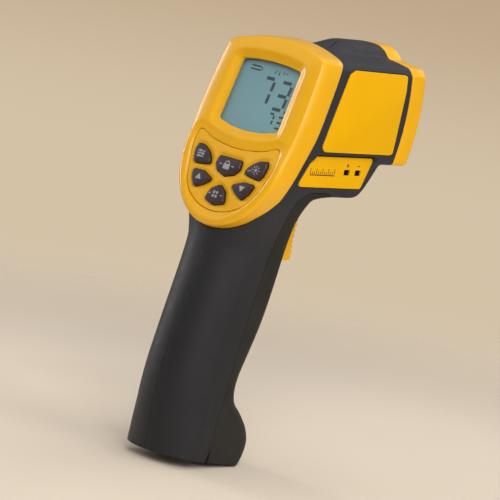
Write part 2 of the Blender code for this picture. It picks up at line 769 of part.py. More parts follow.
def optics():
    """Everything that looks out of the nose, from the lens ring back to the sensor's board."""
    turned_ring("lens_barrel", [(BARREL_RADIUS, 22.0), (BARREL_RADIUS, 49.8), (BARREL_BORE, 49.8),
                                (BARREL_BORE, 22.0)], (0, OPTIC_Z), along_y, BLACK, sides=32)
    turned_ring("lens_ring", [(13.2, 50.1), (13.2, 53.0), (12.4, 53.8), (10.2, 53.8), (9.6, 52.6), (9.6, 50.1)],
                (0, OPTIC_Z), along_y, BLACK, sides=32)
    turned("infrared_lens", [(10.7, 46.2), (10.7, 47.6), (8.2, 48.6), (4.6, 49.2), (0.6, 49.4)],
           (0, OPTIC_Z), along_y, LENS_GREY, sides=32)
    turned("thermopile_sensor", [(4.6, 21.9), (4.6, 22.7), (4.1, 22.7), (4.1, 27.2), (3.7, 27.6)],
           (0, OPTIC_Z), along_y, STEEL, sides=20)
    prism("sensor_board", rounded(rectangle(-13.5, 13.5, OPTIC_Z - 13.5, OPTIC_Z + 13.5), 2.0, 2),
          20.0, 21.6, along_y, BOARD_GREEN)


def laser():
    turned("laser_module", [(LASER_RADIUS, 24.0), (LASER_RADIUS, 44.0), (2.3, 44.8), (2.3, 47.0)],
           (0, LASER_Z), along_y, BRASS, sides=20)
    turned("laser_window", [(2.4, 50.4), (2.4, 52.0)], (0, LASER_Z), along_y, CLEAR, sides=16)
    holder = box("laser_holder", (-5.6, 27.0, 187.0), (5.6, 38.0, 197.5), BLACK)
    cut(holder, turned("laser_bore", [(LASER_RADIUS + GAP, 20), (LASER_RADIUS + GAP, 46)], (0, LASER_Z),
                       along_y, sides=20))


# Electronics


def electronics():
    """The main board with its chip and sounder, and the thermocouple socket with its contacts."""
    board = [(-7.0, 138.0), (24.5, 138.0), (32.0, 149.0), (33.5, 152.5), (33.5, 184.0), (-6.0, 184.0),
             (-12.5, 166.0)]
    prism("main_board", board, -18.4, -16.8, along_x, BOARD_GREEN)
    box("microcontroller", (-16.5, 6.0, 162.0), (-14.6, 18.0, 174.0), BLACK)
    turned("sounder", [(5.0, -16.4), (5.0, -11.4), (4.2, -11.0)], (16.0, 148.0), along_x, BLACK, sides=20)
    low_y = SOCKET_SLOTS[0][0] - 4.0
    high_y = SOCKET_SLOTS[1][0] + 3.2
    socket = box("thermocouple_socket", (10.5, low_y, 138.6), (23.4, high_y, 149.0), BLACK)
    for i, (name, finish) in enumerate((("contact_positive", BRASS), ("contact_negative", STEEL))):
        place = SOCKET_SLOTS[i]
        cut(socket, prism(f"socket_slot_{i}", slot_outline(place), 12.2, 30.0, along_x))
        box(name, (12.6, place[0] - 1.5, place[1] - 0.9), (21.4, place[0] + 1.5, place[1] - 0.4), finish)


# Trigger


def trigger_frame():
    """The bracket inside the handle that carries the trigger's pin and its switch."""
    cheek = [(-24.7, 97.0), (-16.9, 97.0), (-14.9, 112.0), (-8.8, 120.5), (-6.8, 128.6), (-10.0, 130.4),
             (-24.7, 130.4)]
    frame = prism("trigger_frame", cheek, -9.6, 9.6, along_x, BLACK)
    pin = (TRIGGER_PIVOT_Y, TRIGGER_PIVOT_Z)
    cut(frame, box("frame_space", (-7.4, -22.8, 90.0), (7.4, 10.0, 140.0)))
    cut(frame, turned("frame_pin_bore", [(TRIGGER_BORE_RADIUS, -20), (TRIGGER_BORE_RADIUS, 20)], pin, along_x,
                      sides=16))


def trigger_outline():
    """Side view of the trigger: a pivot eye, a toothed finger face and a tail to the switch."""
    eye = [
        (TRIGGER_PIVOT_Y + 3.4 * math.cos(a), TRIGGER_PIVOT_Z + 3.4 * math.sin(a))
        for a in (math.radians(20 + 28 * i) for i in range(7))
    ]
    tail = [(-14.6, 122.0), (-14.4, 104.0), (-11.9, 99.0), (-1.0, 97.2)]
    toe = [(6.8, 96.6), (10.2, 97.4), (11.2, 99.2)]
    face = []
    top_z, bottom_z = 115.6, 100.4
    for i in range(TRIGGER_TEETH):
        for share, depth in ((0.0, 0.0), (0.55, 0.0), (0.6, 0.8), (0.95, 0.8)):
            z = bottom_z + (top_z - bottom_z) * (i + share) / TRIGGER_TEETH
            hollow = 1.2 * math.sin(math.pi * (z - bottom_z) / (top_z - bottom_z + 6.0))
            lean = 1.4 * (z - bottom_z) / (top_z - bottom_z)
            face.append((10.9 - hollow + lean - depth, z))
    crown = [(11.6, 116.6), (9.2, 118.4), (2.0, 120.4), (-6.9, 123.4)]
    return eye + tail + toe + face + crown


def trigger():
    """The trigger, its pin, the torsion spring round the pin and the switch it presses."""
    pivot = add_empty("trigger_pivot", (0, TRIGGER_PIVOT_Y, TRIGGER_PIVOT_Z))
    outline = [(y - TRIGGER_PIVOT_Y, z - TRIGGER_PIVOT_Z) for y, z in trigger_outline()]
    made = prism("trigger", outline, -TRIGGER_HALF_WIDTH, TRIGGER_HALF_WIDTH, along_x, YELLOW, pivot)
    bore = turned("trigger_bore", [(TRIGGER_BORE_RADIUS, -20), (TRIGGER_BORE_RADIUS, 20)], (0, 0), along_x,
                  parent=pivot, sides=16)
    spring_room = turned("spring_room", [(5.4, -1.9), (5.4, 1.9)], (0, 0), along_x, parent=pivot, sides=16)
    cut(made, bore, spring_room)
    turned("trigger_pin", [(TRIGGER_PIN_RADIUS, -12.5), (TRIGGER_PIN_RADIUS, 12.5)],
           (TRIGGER_PIVOT_Y, TRIGGER_PIVOT_Z), along_x, STEEL, sides=16)
    trigger_spring(pivot)


def trigger_switch():
    """The switch behind the trigger, and the plunger that slides in it."""
    switch = box("trigger_switch", (-3.2, -22.4, 100.6), (3.2, -17.8, 112.6), BLACK)
    cut(switch, box("plunger_bore", (-1.7, -20.7, 104.1), (1.7, -17.4, 107.3)))
    box("switch_plunger", (-1.4, -17.5, 104.4), (1.4, -14.8, 107.0), WHITE)


def trigger_spring(pivot):
    """A torsion spring: just over three turns round the pin, with a leg at each end."""
    turns = 3.25
    steps = 39
    half_length = 1.35
    coil_radius = 2.6
    points = [(-half_length, coil_radius, -3.8)]
    for i in range(steps + 1):
        angle = math.tau * turns * i / steps
        along = half_length * (2 * i / steps - 1)
        points.append((along, coil_radius * math.cos(angle), coil_radius * math.sin(angle)))
    points.append((half_length, -5.2, coil_radius))
    wire_tube("trigger_spring", points, 0.35, STEEL, pivot, sides=5)


def wire_tube(name, points, radius, finish, parent=None, sides=6):
    """A round wire along a smooth line of points."""
    places = [Vector(point) for point in points]
    rings = []
    across = None
    for i, place in enumerate(places):
        ahead = places[min(i + 1, len(places) - 1)] - places[max(i - 1, 0)]
        ahead.normalize()
        if across is None:
            across = ahead.orthogonal()
        across = (across - ahead * across.dot(ahead)).normalized()
        other = ahead.cross(across)
        rings.append([place + across * a + other * b for a, b in circle(radius, sides)])
    return loft(name, rings, finish, parent)


# Battery


def battery_door():
    """The front of the handle, from the finger rest down to the hinge at the foot."""
    hinge = add_empty("door_hinge", (0, DOOR_HINGE_Y, DOOR_HINGE_Z))
    door = handle_solid("battery_door", 0.0, GRIP_GREY)
    door.parent = hinge
    door.matrix_parent_inverse.translation = -hinge.location
    axis = (DOOR_HINGE_Y, DOOR_HINGE_Z)
    knuckle = turned("door_knuckle", [(HINGE_KNUCKLE_RADIUS, -15), (HINGE_KNUCKLE_RADIUS, 15)], axis, along_x,
                     sides=16)
    bore = turned("door_pin_bore", [(HINGE_BORE_RADIUS, -24), (HINGE_BORE_RADIUS, 16)], axis, along_x, sides=16)
    half = TRIGGER_HALF_WIDTH + 0.8
    slot = box("trigger_slot", (-half, -20.0, TRIGGER_SLOT[0]), (half, 30.0, TRIGGER_SLOT[1]))
    cut(door, handle_solid("door_hollow", WALL))
    join(door, knuckle)
    keep_inside(door, prism("door_region", door_outline(GAP / 2), -30, 30, along_x))
    cut(door, slot, bore)
    low, high = HINGE_LUG[0] - GAP, HINGE_LUG[1] + GAP
    for name, left, right in (("left", -high, -low), ("right", low, high)):
        cut(door, box(f"lug_slot_{name}", (left, -40.0, -2.0), (right, -30.6, 10.0)))
    turned("door_hinge_pin", [(HINGE_PIN_RADIUS, -14), (HINGE_PIN_RADIUS, 14)], axis, along_x, STEEL, sides=16)
    wedge = [(-27.3, 38.0), (-25.5, 50.0), (-21.7, 50.0), (-23.9, 44.0), (-25.0, 38.0)]
    prism("battery_pad", wedge, -8.0, 8.0, along_x, FOAM, hinge).matrix_parent_inverse.translation = -hinge.location


def battery():
    """The battery and its snap cap, leaning with the handle."""
    seat = add_empty("battery_seat", BATTERY_CENTRE, BATTERY_LEAN_DEG)
    half_x, half_y, half_z = (size / 2 for size in BATTERY_SIZE)
    outline = rounded(rectangle(-half_x, half_x, -half_y, half_y), 2.0, 2)
    cell = prism("battery", outline, -half_z, half_z, along_z, BATTERY_BLUE, seat)
    for name, x, radius in (("stud", -6.35, 2.6), ("cup", 6.35, 3.4)):
        join(cell, turned(f"battery_{name}", [(radius, half_z - 1), (radius, half_z + 2.2)], (x, 0), along_z,
                          parent=seat, sides=12))
    snap = prism("battery_snap", rounded(rectangle(-12.6, 12.6, -6.4, 6.4), 3.0, 3), half_z + 0.4, half_z + 5.0,
                 along_z, BLACK, seat)
    for name, x, radius in (("stud", -6.35, 2.9), ("cup", 6.35, 3.7)):
        cut(snap, turned(f"snap_{name}", [(radius, half_z - 2), (radius, half_z + 2.6)], (x, 0), along_z,
                         parent=seat, sides=12))


def leads():
    """Two wires that climb from the snap cap to the main board, past the neck screw."""
    for name, x, shift, finish in (("lead_positive", -9.5, 0.0, WIRE_RED), ("lead_negative", -12.0, 2.2, WIRE_BLACK)):
        stations = ((x, -32.4, 66.7), (x - 1.0, -31.5, 76.0), (x - 4.5, -28.0 + shift, 96.0),
                    (x - 4.5, -19.5 + shift, 114.0), (x - 3.0, -13.5 + shift, 128.0), (x - 2.0, -5.5 + shift, 141.0),
                    (-15.6, -1.0 + shift, 147.0))
        wire_tube(name, smooth_line(stations, 4), 0.75, finish)


def smooth_line(stations, steps):
    """A Catmull-Rom curve through the stations."""
    places = [Vector(station) for station in stations]
    places = [places[0] * 2 - places[1]] + places + [places[-1] * 2 - places[-2]]
    line = []
    for a, b, c, d in zip(places, places[1:], places[2:], places[3:]):
        for k in range(steps):
            t = k / steps
            line.append(0.5 * (2 * b + (c - a) * t + (2 * a - 5 * b + 4 * c - d) * t**2
                               + (3 * b - a - 3 * c + d) * t**3))
    return line + [places[-2]]


# Fasteners


def screws():
    """Pan-head screws whose heads sit in counterbores of the left half."""
    head = -SCREW_SEAT - GAP
    profile = (
        (SCREW_HEAD_RADIUS - 0.5, head - 2.2),
        (SCREW_HEAD_RADIUS, head - 1.7),
        (SCREW_HEAD_RADIUS, head),
        (SCREW_SHANK_RADIUS, head),
        (SCREW_SHANK_RADIUS, SCREW_SEAT - 1.6),
        (SCREW_SHANK_RADIUS / 2, SCREW_SEAT - 0.6),
    )
    for name, y, z in SCREWS:
        turned(name, profile, (y, z), along_x, STEEL, sides=14)


clear_scene()
display_plane = add_empty("display_plane", (0, FACE_Y, FACE_Z), 90 - FACE_LEAN_DEG)
casing_source = casing_guide()
boss_space = casing_skin("boss_space", 0.8)
shell("shell_left", -1, casing_source, boss_space)
shell("shell_right", 1, casing_source, boss_space)
battery_door()
bezel()
keypad()
display()
labels()
nose_bezel()
nose_panel()
optics()
laser()
electronics()
trigger_frame()
trigger()
trigger_switch()
battery()
leads()
screws()
casing_source.hide_render = True
casing_source.display_type = "WIRE"
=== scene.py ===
"""The looks of the pistol-grip infrared thermometer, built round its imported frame.

Shapes are worked out in millimetres in the frame's axes: +Z up, +Y towards the nose, +X to the user's right.
"""

import json
import math

import bmesh
import bpy
import numpy as np
from mathutils import Matrix, Vector


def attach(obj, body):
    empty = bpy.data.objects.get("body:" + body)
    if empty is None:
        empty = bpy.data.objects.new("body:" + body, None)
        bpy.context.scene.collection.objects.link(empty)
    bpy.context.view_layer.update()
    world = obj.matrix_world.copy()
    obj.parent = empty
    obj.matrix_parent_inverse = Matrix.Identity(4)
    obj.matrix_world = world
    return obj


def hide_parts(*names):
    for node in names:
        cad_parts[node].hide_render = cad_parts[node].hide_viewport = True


MM = 0.001
GAP = 0.3
WALL = 2.2

# Display face: a plane that leans forward at its top; points on it are (x, v), heights above it d.
FACE_LEAN = math.radians(17.9)
FACE_Y = -39.6
FACE_Z = 140.3
BEZEL_DEPTH = 11.5
BEZEL_BULGE = 3.7
BEZEL_CHIN_LOSS = 4.9
BEZEL_TOP_RISE = 5.0
BEZEL_FACE = -0.9

HEAD_HALF_WIDTH = 28.0
HEAD_BOTTOM = 148.6
HUMP_BASE = 197.6
HUMP_HEIGHT = 5.8
NOSE_FRONT = (60.7, 4.2)
NOSE_BACK = (49.7, 3.8)
NOSE_WALL = 2.6

HANDLE_STATIONS = (
    (-3.0, -60.5, -13.6, 19.6, 8.0),
    (3.0, -60.6, -9.8, 19.9, 8.5),
    (8.0, -60.6, -7.9, 20.1, 9.0),
    (13.0, -60.7, -7.8, 20.2, 9.0),
    (19.0, -60.8, -10.4, 20.2, 9.0),
    (26.0, -60.9, -16.2, 20.0, 9.0),
    (31.0, -60.8, -21.2, 19.9, 9.0),
    (37.0, -60.4, -22.4, 19.7, 9.0),
    (44.0, -59.6, -21.2, 19.5, 9.0),
    (54.0, -57.8, -17.4, 19.3, 9.0),
    (68.0, -54.8, -12.4, 19.2, 9.0),
    (82.0, -51.4, -9.2, 19.4, 9.0),
    (94.0, -48.4, -7.4, 19.8, 9.0),
    (104.0, -46.2, -6.4, 20.5, 9.0),
    (112.0, -44.8, -6.0, 21.8, 9.0),
    (118.0, -43.8, -5.8, 23.2, 9.0),
    (123.0, -42.9, -4.6, 24.6, 9.0),
    (127.0, -42.1, -3.4, 25.6, 8.0),
    (129.6, -41.6, -1.6, 25.9, 7.0),
    (131.0, -41.3, 2.6, 26.0, 5.0),
    (131.7, -41.2, 10.0, 26.0, 3.0),
    (132.3, -41.0, 26.5, 26.0, 3.0),
    (135.0, -40.0, 30.6, 26.0, 3.0),
    (151.0, -34.0, 42.0, 26.0, 3.0),
)
# How deep the handle's elliptical back is at a height: z, depth.
HANDLE_BACK = ((4.0, 12.5), (26.0, 17.0), (104.0, 17.0), (120.0, 9.0))
BASE_SLOPE = math.radians(5.8)
BASE_Y = -18.3
BASE_Z = 0.67

DOOR_EDGE = (
    (16.0, 129.8),
    (4.2, 133.5),
    (-7.0, 133.6),
    (-12.2, 131.7),
    (-16.4, 129.0),
    (-18.7, 125.0),
    (-20.0, 115.0),
    (-21.5, 106.0),
    (-33.6, 38.0),
    (-37.2, 19.5),
    (-37.7, 7.0),
    (-38.0, -6.0),
)
DOOR_FRONT = ((40.0, -6.0), (40.0, 122.3))
DOOR_NOTCH = ((-37.8, 9.4), (-40.3, 2.9), (-40.4, -6.0), (-30.0, -6.0), (-30.0, 9.4))
HINGE_Y = -33.4
HINGE_Z = 5.3
TRIGGER_Y = -10.4
TRIGGER_Z = 126.0

SIDE_LABEL = ((5.8, 192.7), (2.1, 190.7), (-8.3, 155.6), (-6.2, 153.5), (44.3, 153.7), (45.0, 165.0),
              (45.5, 177.0), (45.9, 184.0), (45.0, 192.4))
RANGE_LABEL = ((-9.9, 151.0), (-18.9, 136.3), (27.4, 136.4), (33.6, 151.4))
BLOCK_HALF_WIDTH = 26.0
SOCKET_SLOTS = ((15.3, 144.0), (23.4, 144.0))
SOCKET_SLOT_SIZE = (4.3, 2.7)

SET_OUTLINE = ((21.6, 6.6), (17.6, 5.9), (13.9, 3.6), (11.4, 0.7), (10.7, -1.7), (14.8, -2.5), (20.2, -3.0), (21.7, -0.4),
               (22.3, 3.4))
ARROW_OUTLINE = ((19.4, -5.7), (12.6, -5.7), (5.8, -8.6), (10.1, -11.8), (14.8, -14.1), (17.7, -10.4))
LOCK_OUTLINE = ((7.0, 3.6), (-7.0, 3.6), (-7.5, -0.6), (-5.3, -3.7), (0.0, -5.5), (5.3, -3.7), (7.5, -0.6))
MODE_OUTLINE = ((0.0, -9.7), (-4.3, -12.6), (-6.2, -17.9), (0.0, -19.7), (6.2, -17.9), (4.3, -12.6))
KEYPAD_HALF = ((0.0, 8.5), (9.0, 9.2), (17.0, 10.8), (23.6, 13.2), (25.2, 12.0), (25.4, 5.0), (24.4, 0.0),
               (23.0, -5.0), (21.0, -11.0), (17.3, -16.0), (13.0, -19.0), (7.6, -21.3), (0.0, -22.4))
LCD_HALF = ((0.0, 53.2), (9.5, 52.8), (18.6, 51.5), (19.0, 20.6), (9.5, 18.3), (0.0, 17.6))

OPTIC_Z = 172.0
LASER_Z = 196.3
SCREWS = ((-52.5, 16.0), (-40.0, 82.0), (-28.6, 110.0), (39.5, 156.0), (8.0, 187.5))
SCREW_SEAT = 12.0


# Outlines


def area_of(outline):
    points = np.asarray(outline)
    following = np.roll(points, -1, axis=0)
    return float(np.sum(points[:, 0] * following[:, 1] - following[:, 0] * points[:, 1]) / 2)


def mirrored(half):
    """A closed outline from its right half, whose first and last points lie on x = 0."""
    return list(half) + [(-x, v) for x, v in reversed(half[1:-1])]


def inset(outline, distance):
    """A closed outline moved inwards by distance, or outwards when distance is negative."""
    side = 1 if area_of(outline) > 0 else -1
    count = len(outline)
    moved = []
    for i in range(count):
        here = Vector(outline[i])
        before = (here - Vector(outline[i - 1])).normalized()
        after = (Vector(outline[(i + 1) % count]) - here).normalized()
        inward = Vector((-before.y, before.x)) * side
        middle = (inward + Vector((-after.y, after.x)) * side).normalized()
        moved.append(tuple(here + middle * (distance / max(0.4, middle.dot(inward)))))
    return moved


def shrunk(outline, distance):
    """An outline scaled towards the middle of its box, so that each side of the box moves in by distance."""
    points = np.array(outline, float)
    low, high = points.min(0), points.max(0)
    middle = (low + high) / 2
    return middle + (points - middle) * (1 - 2 * distance / (high - low))


def rounded(outline, radius, steps=8):
    """A closed outline with each corner turned into an arc of about the given radius."""
    count = len(outline)
    points = []
    for i in range(count):
        corner = Vector(outline[i])
        to_last = Vector(outline[i - 1]) - corner
        to_next = Vector(outline[(i + 1) % count]) - corner
        half_turn = (math.pi - to_last.angle(to_next)) / 2
        if half_turn < 0.02:
            points.append(tuple(corner))
            continue
        reach = min(radius * math.tan(half_turn), 0.45 * to_last.length, 0.45 * to_next.length)
        start = corner + to_last.normalized() * reach
        end = corner + to_next.normalized() * reach
        for k in range(steps + 1):
            t = k / steps
            points.append(tuple(start * (1 - t) ** 2 + corner * (2 * t * (1 - t)) + end * t**2))
    return points


def resampled(outline, count):
    """A closed outline as count points at even spacing along it."""
    points = np.array(list(outline) + [outline[0]], float)
    lengths = np.concatenate([[0.0], np.cumsum(np.linalg.norm(np.diff(points, axis=0), axis=1))])
    wanted = np.linspace(0.0, lengths[-1], count, endpoint=False)
    return np.stack([np.interp(wanted, lengths, points[:, i]) for i in (0, 1)], axis=1)


def curved(points, steps, closed=True):
    """A centripetal Catmull-Rom curve through points of any dimension."""
    places = [np.array(p, float) for p in points]
    if closed:
        places = [places[-1]] + places + places[:2]
    else:
        places = [2 * places[0] - places[1]] + places + [2 * places[-1] - places[-2]]
    line = []
    for a, b, c, d in zip(places, places[1:], places[2:], places[3:]):
        knots = [0.0]
        for p, q in ((a, b), (b, c), (c, d)):
            knots.append(knots[-1] + max(1e-6, float(np.linalg.norm(q - p))) ** 0.5)
        for k in range(steps):
            t = knots[1] + (knots[2] - knots[1]) * k / steps
            line.append(barry_goldman((a, b, c, d), knots, t))
    if not closed:
        line.append(places[-2])
    return np.array(line)


def barry_goldman(points, knots, t):
    a, b, c, d = points
    t0, t1, t2, t3 = knots
    a1 = (t1 - t) / (t1 - t0) * a + (t - t0) / (t1 - t0) * b
    a2 = (t2 - t) / (t2 - t1) * b + (t - t1) / (t2 - t1) * c
    a3 = (t3 - t) / (t3 - t2) * c + (t - t2) / (t3 - t2) * d
    b1 = (t2 - t) / (t2 - t0) * a1 + (t - t0) / (t2 - t0) * a2
    b2 = (t3 - t) / (t3 - t1) * a2 + (t - t1) / (t3 - t1) * a3
    return (t2 - t) / (t2 - t1) * b1 + (t - t1) / (t2 - t1) * b2


def distance_to(outline, points):
    """Signed distance from each point to a closed outline, negative inside it."""
    line = np.asarray(outline, float)
    points = np.asarray(points, float)
    start, end = line, np.roll(line, -1, axis=0)
    best = np.full(len(points), 1e9)
    inside = np.zeros(len(points), bool)
    for a, b in zip(start, end):
        along = b - a
        share = np.clip(((points - a) @ along) / max(1e-12, along @ along), 0, 1)
        best = np.minimum(best, np.linalg.norm(points - a - share[:, None] * along, axis=1))
        crosses = (a[1] > points[:, 1]) != (b[1] > points[:, 1])
        if crosses.any():
            at = a[0] + (points[:, 1] - a[1]) * along[0] / (along[1] if along[1] else 1e-12)
            inside ^= crosses & (points[:, 0] < at)
    return np.where(inside, -best, best)


def smoothstep(value):
    t = np.clip(value, 0.0, 1.0)
    return t * t * (3 - 2 * t)


# Meshes


def place_x(a, b, level):
    return (level, a, b)


def place_y(a, b, level):
    return (a, level, b)


def place_z(a, b, level):
    return (a, b, level)


def place_face(x, v, d):
    """A point of the display face in the frame: x across, v up the face, d out of it."""
    return (
        x,
        FACE_Y + math.sin(FACE_LEAN) * v - math.cos(FACE_LEAN) * d,
        FACE_Z + math.cos(FACE_LEAN) * v + math.sin(FACE_LEAN) * d,
    )


def face_points(points):
    """place_face for an array of (x, v, d)."""
    points = np.asarray(points, float)
    x, v, d = points[..., 0], points[..., 1], points[..., 2]
    return np.stack(
        [
            x,
            FACE_Y + math.sin(FACE_LEAN) * v - math.cos(FACE_LEAN) * d,
            FACE_Z + math.cos(FACE_LEAN) * v + math.sin(FACE_LEAN) * d,
        ],
        axis=-1,
    )


def add_mesh(name, points, faces, sharp=40.0):
    """A mesh object from millimetre points, shaded smooth except across edges sharper than sharp degrees."""
    mesh = bpy.data.meshes.new(name)
    mesh.from_pydata((np.asarray(points, float) * MM).tolist(), [], faces)
    mesh.update()
    obj = bpy.data.objects.new(name, mesh)
    bpy.context.scene.collection.objects.link(obj)
    outwards(obj)
    shade(obj, sharp)
    return obj


def shade(obj, sharp=40.0):
    obj.data.shade_smooth()
    obj.data.set_sharp_from_angle(angle=math.radians(sharp))
    return obj


def outwards(obj):
    shape = bmesh.new()
    shape.from_mesh(obj.data)
    bmesh.ops.recalc_face_normals(shape, faces=shape.faces)
    if shape.calc_volume(signed=True) < 0:
        bmesh.ops.reverse_faces(shape, faces=shape.faces)
    shape.to_mesh(obj.data)
    shape.free()


def loft(name, rings, joined=False, sharp=40.0):
    """A closed solid through rings of equal length: capped at both ends, or its ends joined."""
    rings = np.asarray(rings, float)
    layers, count = rings.shape[:2]
    index = np.arange(layers * count).reshape(layers, count)
    pairs = layers if joined else layers - 1
    lower = index[:pairs]
    upper = np.roll(index, -1, axis=0)[:pairs]
    quads = np.stack([lower, np.roll(lower, -1, axis=1), np.roll(upper, -1, axis=1), upper], axis=-1)
    faces = quads.reshape(-1, 4).tolist()
    if not joined:
        faces.append(index[0].tolist())
        faces.append(index[-1].tolist())
    return add_mesh(name, rings.reshape(-1, 3), faces, sharp)


def prism(name, outline, low, high, place, sharp=40.0):
    return loft(name, [[place(a, b, level) for a, b in outline] for level in (low, high)], sharp=sharp)


def plate(name, outline, low, high, place, edge=0.25, steps=4, sharp=50.0, both=False):
    """A prism whose far edge, or both edges, are rounded by edge."""
    turns = [math.pi / 2 * i / steps for i in range(steps + 1)]
    upper = [(edge * (1 - math.cos(a)), high - edge * (1 - math.sin(a))) for a in turns]
    lower = [(edge * (1 - math.cos(a)), low + edge * (1 - math.sin(a))) for a in reversed(turns)] if both else [(0.0, low)]
    rings = [[place(a, b, level) for a, b in inset(outline, distance)] for distance, level in lower + upper]
    return loft(name, rings, sharp=sharp)


def circle(radius, sides=96):
    return [
        (radius * math.cos(math.tau * i / sides), radius * math.sin(math.tau * i / sides))
        for i in range(sides)
    ]


def turned(name, profile, centre, place, joined=False, sides=96, sharp=30.0):
    """A solid of revolution from (radius, level) points, or a ring of one when joined."""
    rings = [
        [place(a + centre[0], b + centre[1], level) for a, b in circle(max(radius, 0.02), sides)]
        for radius, level in profile
    ]
    return loft(name, rings, joined, sharp)


def rectangle(low_a, high_a, low_b, high_b):
    return [(low_a, low_b), (high_a, low_b), (high_a, high_b), (low_a, high_b)]


def block(name, low, high):
    return prism(name, rectangle(low[0], high[0], low[1], high[1]), low[2], high[2], place_z)


def evaluated_mesh(obj):
    bpy.context.view_layer.update()
    graph = bpy.context.evaluated_depsgraph_get()
    return bpy.data.meshes.new_from_object(obj.evaluated_get(graph), depsgraph=graph)


def settle(obj):
    """Applies every modifier of obj."""
    mesh = evaluated_mesh(obj)
    old = obj.data
    obj.modifiers.clear()
    obj.data = mesh
    bpy.data.meshes.remove(old)
    return obj


def combine(target, operation, *tools, keep=False, solver="MANIFOLD"):
    """Boolean operations applied at once; the tools are removed unless keep is set."""
    for tool in tools:
        modifier = target.modifiers.new("shape", "BOOLEAN")
        modifier.operation = operation
        modifier.solver = solver
        modifier.object = tool
        settle(target)
        if not len(target.data.polygons):
            raise RuntimeError(f"{operation} of {target.name} with {tool.name} left nothing")
        if not keep:
            bpy.data.objects.remove(tool)
    return target


def cut(target, *tools, **settings):
    return combine(target, "DIFFERENCE", *tools, **settings)


def join(target, *tools, **settings):
    return combine(target, "UNION", *tools, **settings)


def common(target, *tools, **settings):
    return combine(target, "INTERSECT", *tools, **settings)


def twin(obj, name):
    made = obj.copy()
    made.data = obj.data.copy()
    made.name = name
    bpy.context.scene.collection.objects.link(made)
    return made


def points_of(obj):
    flat = np.empty(len(obj.data.vertices) * 3, np.float32)
    obj.data.vertices.foreach_get("co", flat)
    return flat.reshape(-1, 3).astype(float) / MM


def bevelled(obj, width, steps=3, angle=30.0):
    """Rounds the edges of obj that are sharper than angle."""
    modifier = obj.modifiers.new("edges", "BEVEL")
    modifier.width = width * MM
    modifier.segments = steps
    modifier.limit_method = "ANGLE"
    modifier.angle_limit = math.radians(angle)
    settle(obj)
    return shade(obj, 50.0)


# Outlines of the casing


def bezel_outline(distance=0.0):
    chin = []
    for i in range(11):
        angle = math.radians(-90 + 9 * i)
        chin.append((30.8 * math.cos(angle), 8.0 + 37.4 * math.sin(angle)))
    side = [(31.5, 27.0), (31.1, 40.0), (30.4, 52.0), (29.9, 56.0)]
    corner = [(29.2, 58.2), (27.4, 59.6)]
    top = [(x, 64.2 - 5.4 * (x / 29.7) ** 2) for x in (21.0, 14.0, 7.0, 0.0)]
    line = curved(mirrored(chin + side + corner + top), 24)
    return shrunk(resampled(line, 720), distance)


def bezel_depth(v):
    """How far the bezel's side band reaches back: deepest beside the display, least at the chin."""
    return BEZEL_DEPTH + BEZEL_BULGE * smoothstep((v + 8.0) / 38.0) - BEZEL_CHIN_LOSS * np.clip((-8.0 - v) / 17.0, 0, 1)


def bezel_ring(distance, share, extra=0.0):
    """The bezel's edge at a share of its depth, where its top has risen to meet the head."""
    line = bezel_outline(distance)
    v = line[:, 1]
    rise = BEZEL_TOP_RISE * share * np.maximum(0.0, (v - 20.0) / 44.0) ** 2
    return np.stack([line[:, 0], v + rise, -bezel_depth(v) * share - extra], axis=1)


def keypad_outline(distance=0.0):
    half = curved(mirrored(KEYPAD_HALF), 10)
    return shrunk(resampled(half, 560), distance)


def lcd_outline(distance=0.0):
    return np.array(inset(resampled(rounded(mirrored(LCD_HALF), 2.2, 8), 300), distance))


def head_outline(distance=0.0, radius=2.4, hump=True):
    """The head's cross-section as (x, z): flat sides, shoulders that fall outwards and the hump."""
    half = [(0.0, HEAD_BOTTOM), (28.0, HEAD_BOTTOM)]
    half += [(28.0, z) for z in (154.0, 158.5, 163.0, 167.5, 172.0, 176.0, 180.0, 184.0, 188.0)]
    half += [(28.0, 192.2), (25.8, 195.5), (18.5, 196.9)]
    if hump:
        half += [(12.9, 197.5), (11.4, 199.3), (9.6, 201.4), (6.4, 202.9), (3.2, 203.3), (0.0, 203.4)]
    else:
        half += [(9.0, 198.2), (0.0, 198.4)]
    return inset(mirrored(half), distance), radius


def nose_y(edge, z):
    peak, bow = edge
    return peak - bow * ((z - 176.0) / 27.0) ** 2


def handle_sections(wall=0.0, steps=8):
    """Horizontal sections of the handle, from the foot up, as rings of 104 points."""
    stations = curved(HANDLE_STATIONS, steps, closed=False)
    rings = []
    for z, rear, front, half_width, radius in stations:
        width = half_width - wall
        rear += wall
        front -= wall
        depth = float(np.interp(z, *zip(*HANDLE_BACK))) - wall
        radius = max(1.0, radius - wall)
        if wall and z > 118.0:
            z += wall
        ring = []
        for side, start in ((1, 0), (-1, 90)):
            for i in range(17):
                angle = math.radians(start + 90 * i / 16)
                ring.append((
                    side * (width - radius) + radius * math.cos(angle),
                    front - radius + radius * math.sin(angle),
                    z,
                ))
        for i in range(1, 60):
            angle = math.pi * i / 60
            ring.append((-width * math.cos(angle), rear + depth - depth * math.sin(angle), z))
        rings.append(ring)
    return rings


def level_foot(obj, wall=0.0):
    """Cuts obj off at the sloping plane of the handle's foot."""
    shape = bmesh.new()
    shape.from_mesh(obj.data)
    foot = bmesh.ops.bisect_plane(
        shape,
        geom=shape.verts[:] + shape.edges[:] + shape.faces[:],
        plane_co=Vector((0.0, BASE_Y, BASE_Z + wall)) * MM,
        plane_no=(0.0, -math.sin(BASE_SLOPE), -math.cos(BASE_SLOPE)),
        clear_outer=True,
    )
    bmesh.ops.holes_fill(shape, edges=[e for e in foot["geom_cut"] if isinstance(e, bmesh.types.BMEdge)])
    bmesh.ops.recalc_face_normals(shape, faces=shape.faces)
    shape.to_mesh(obj.data)
    shape.free()
    return obj


# Display face


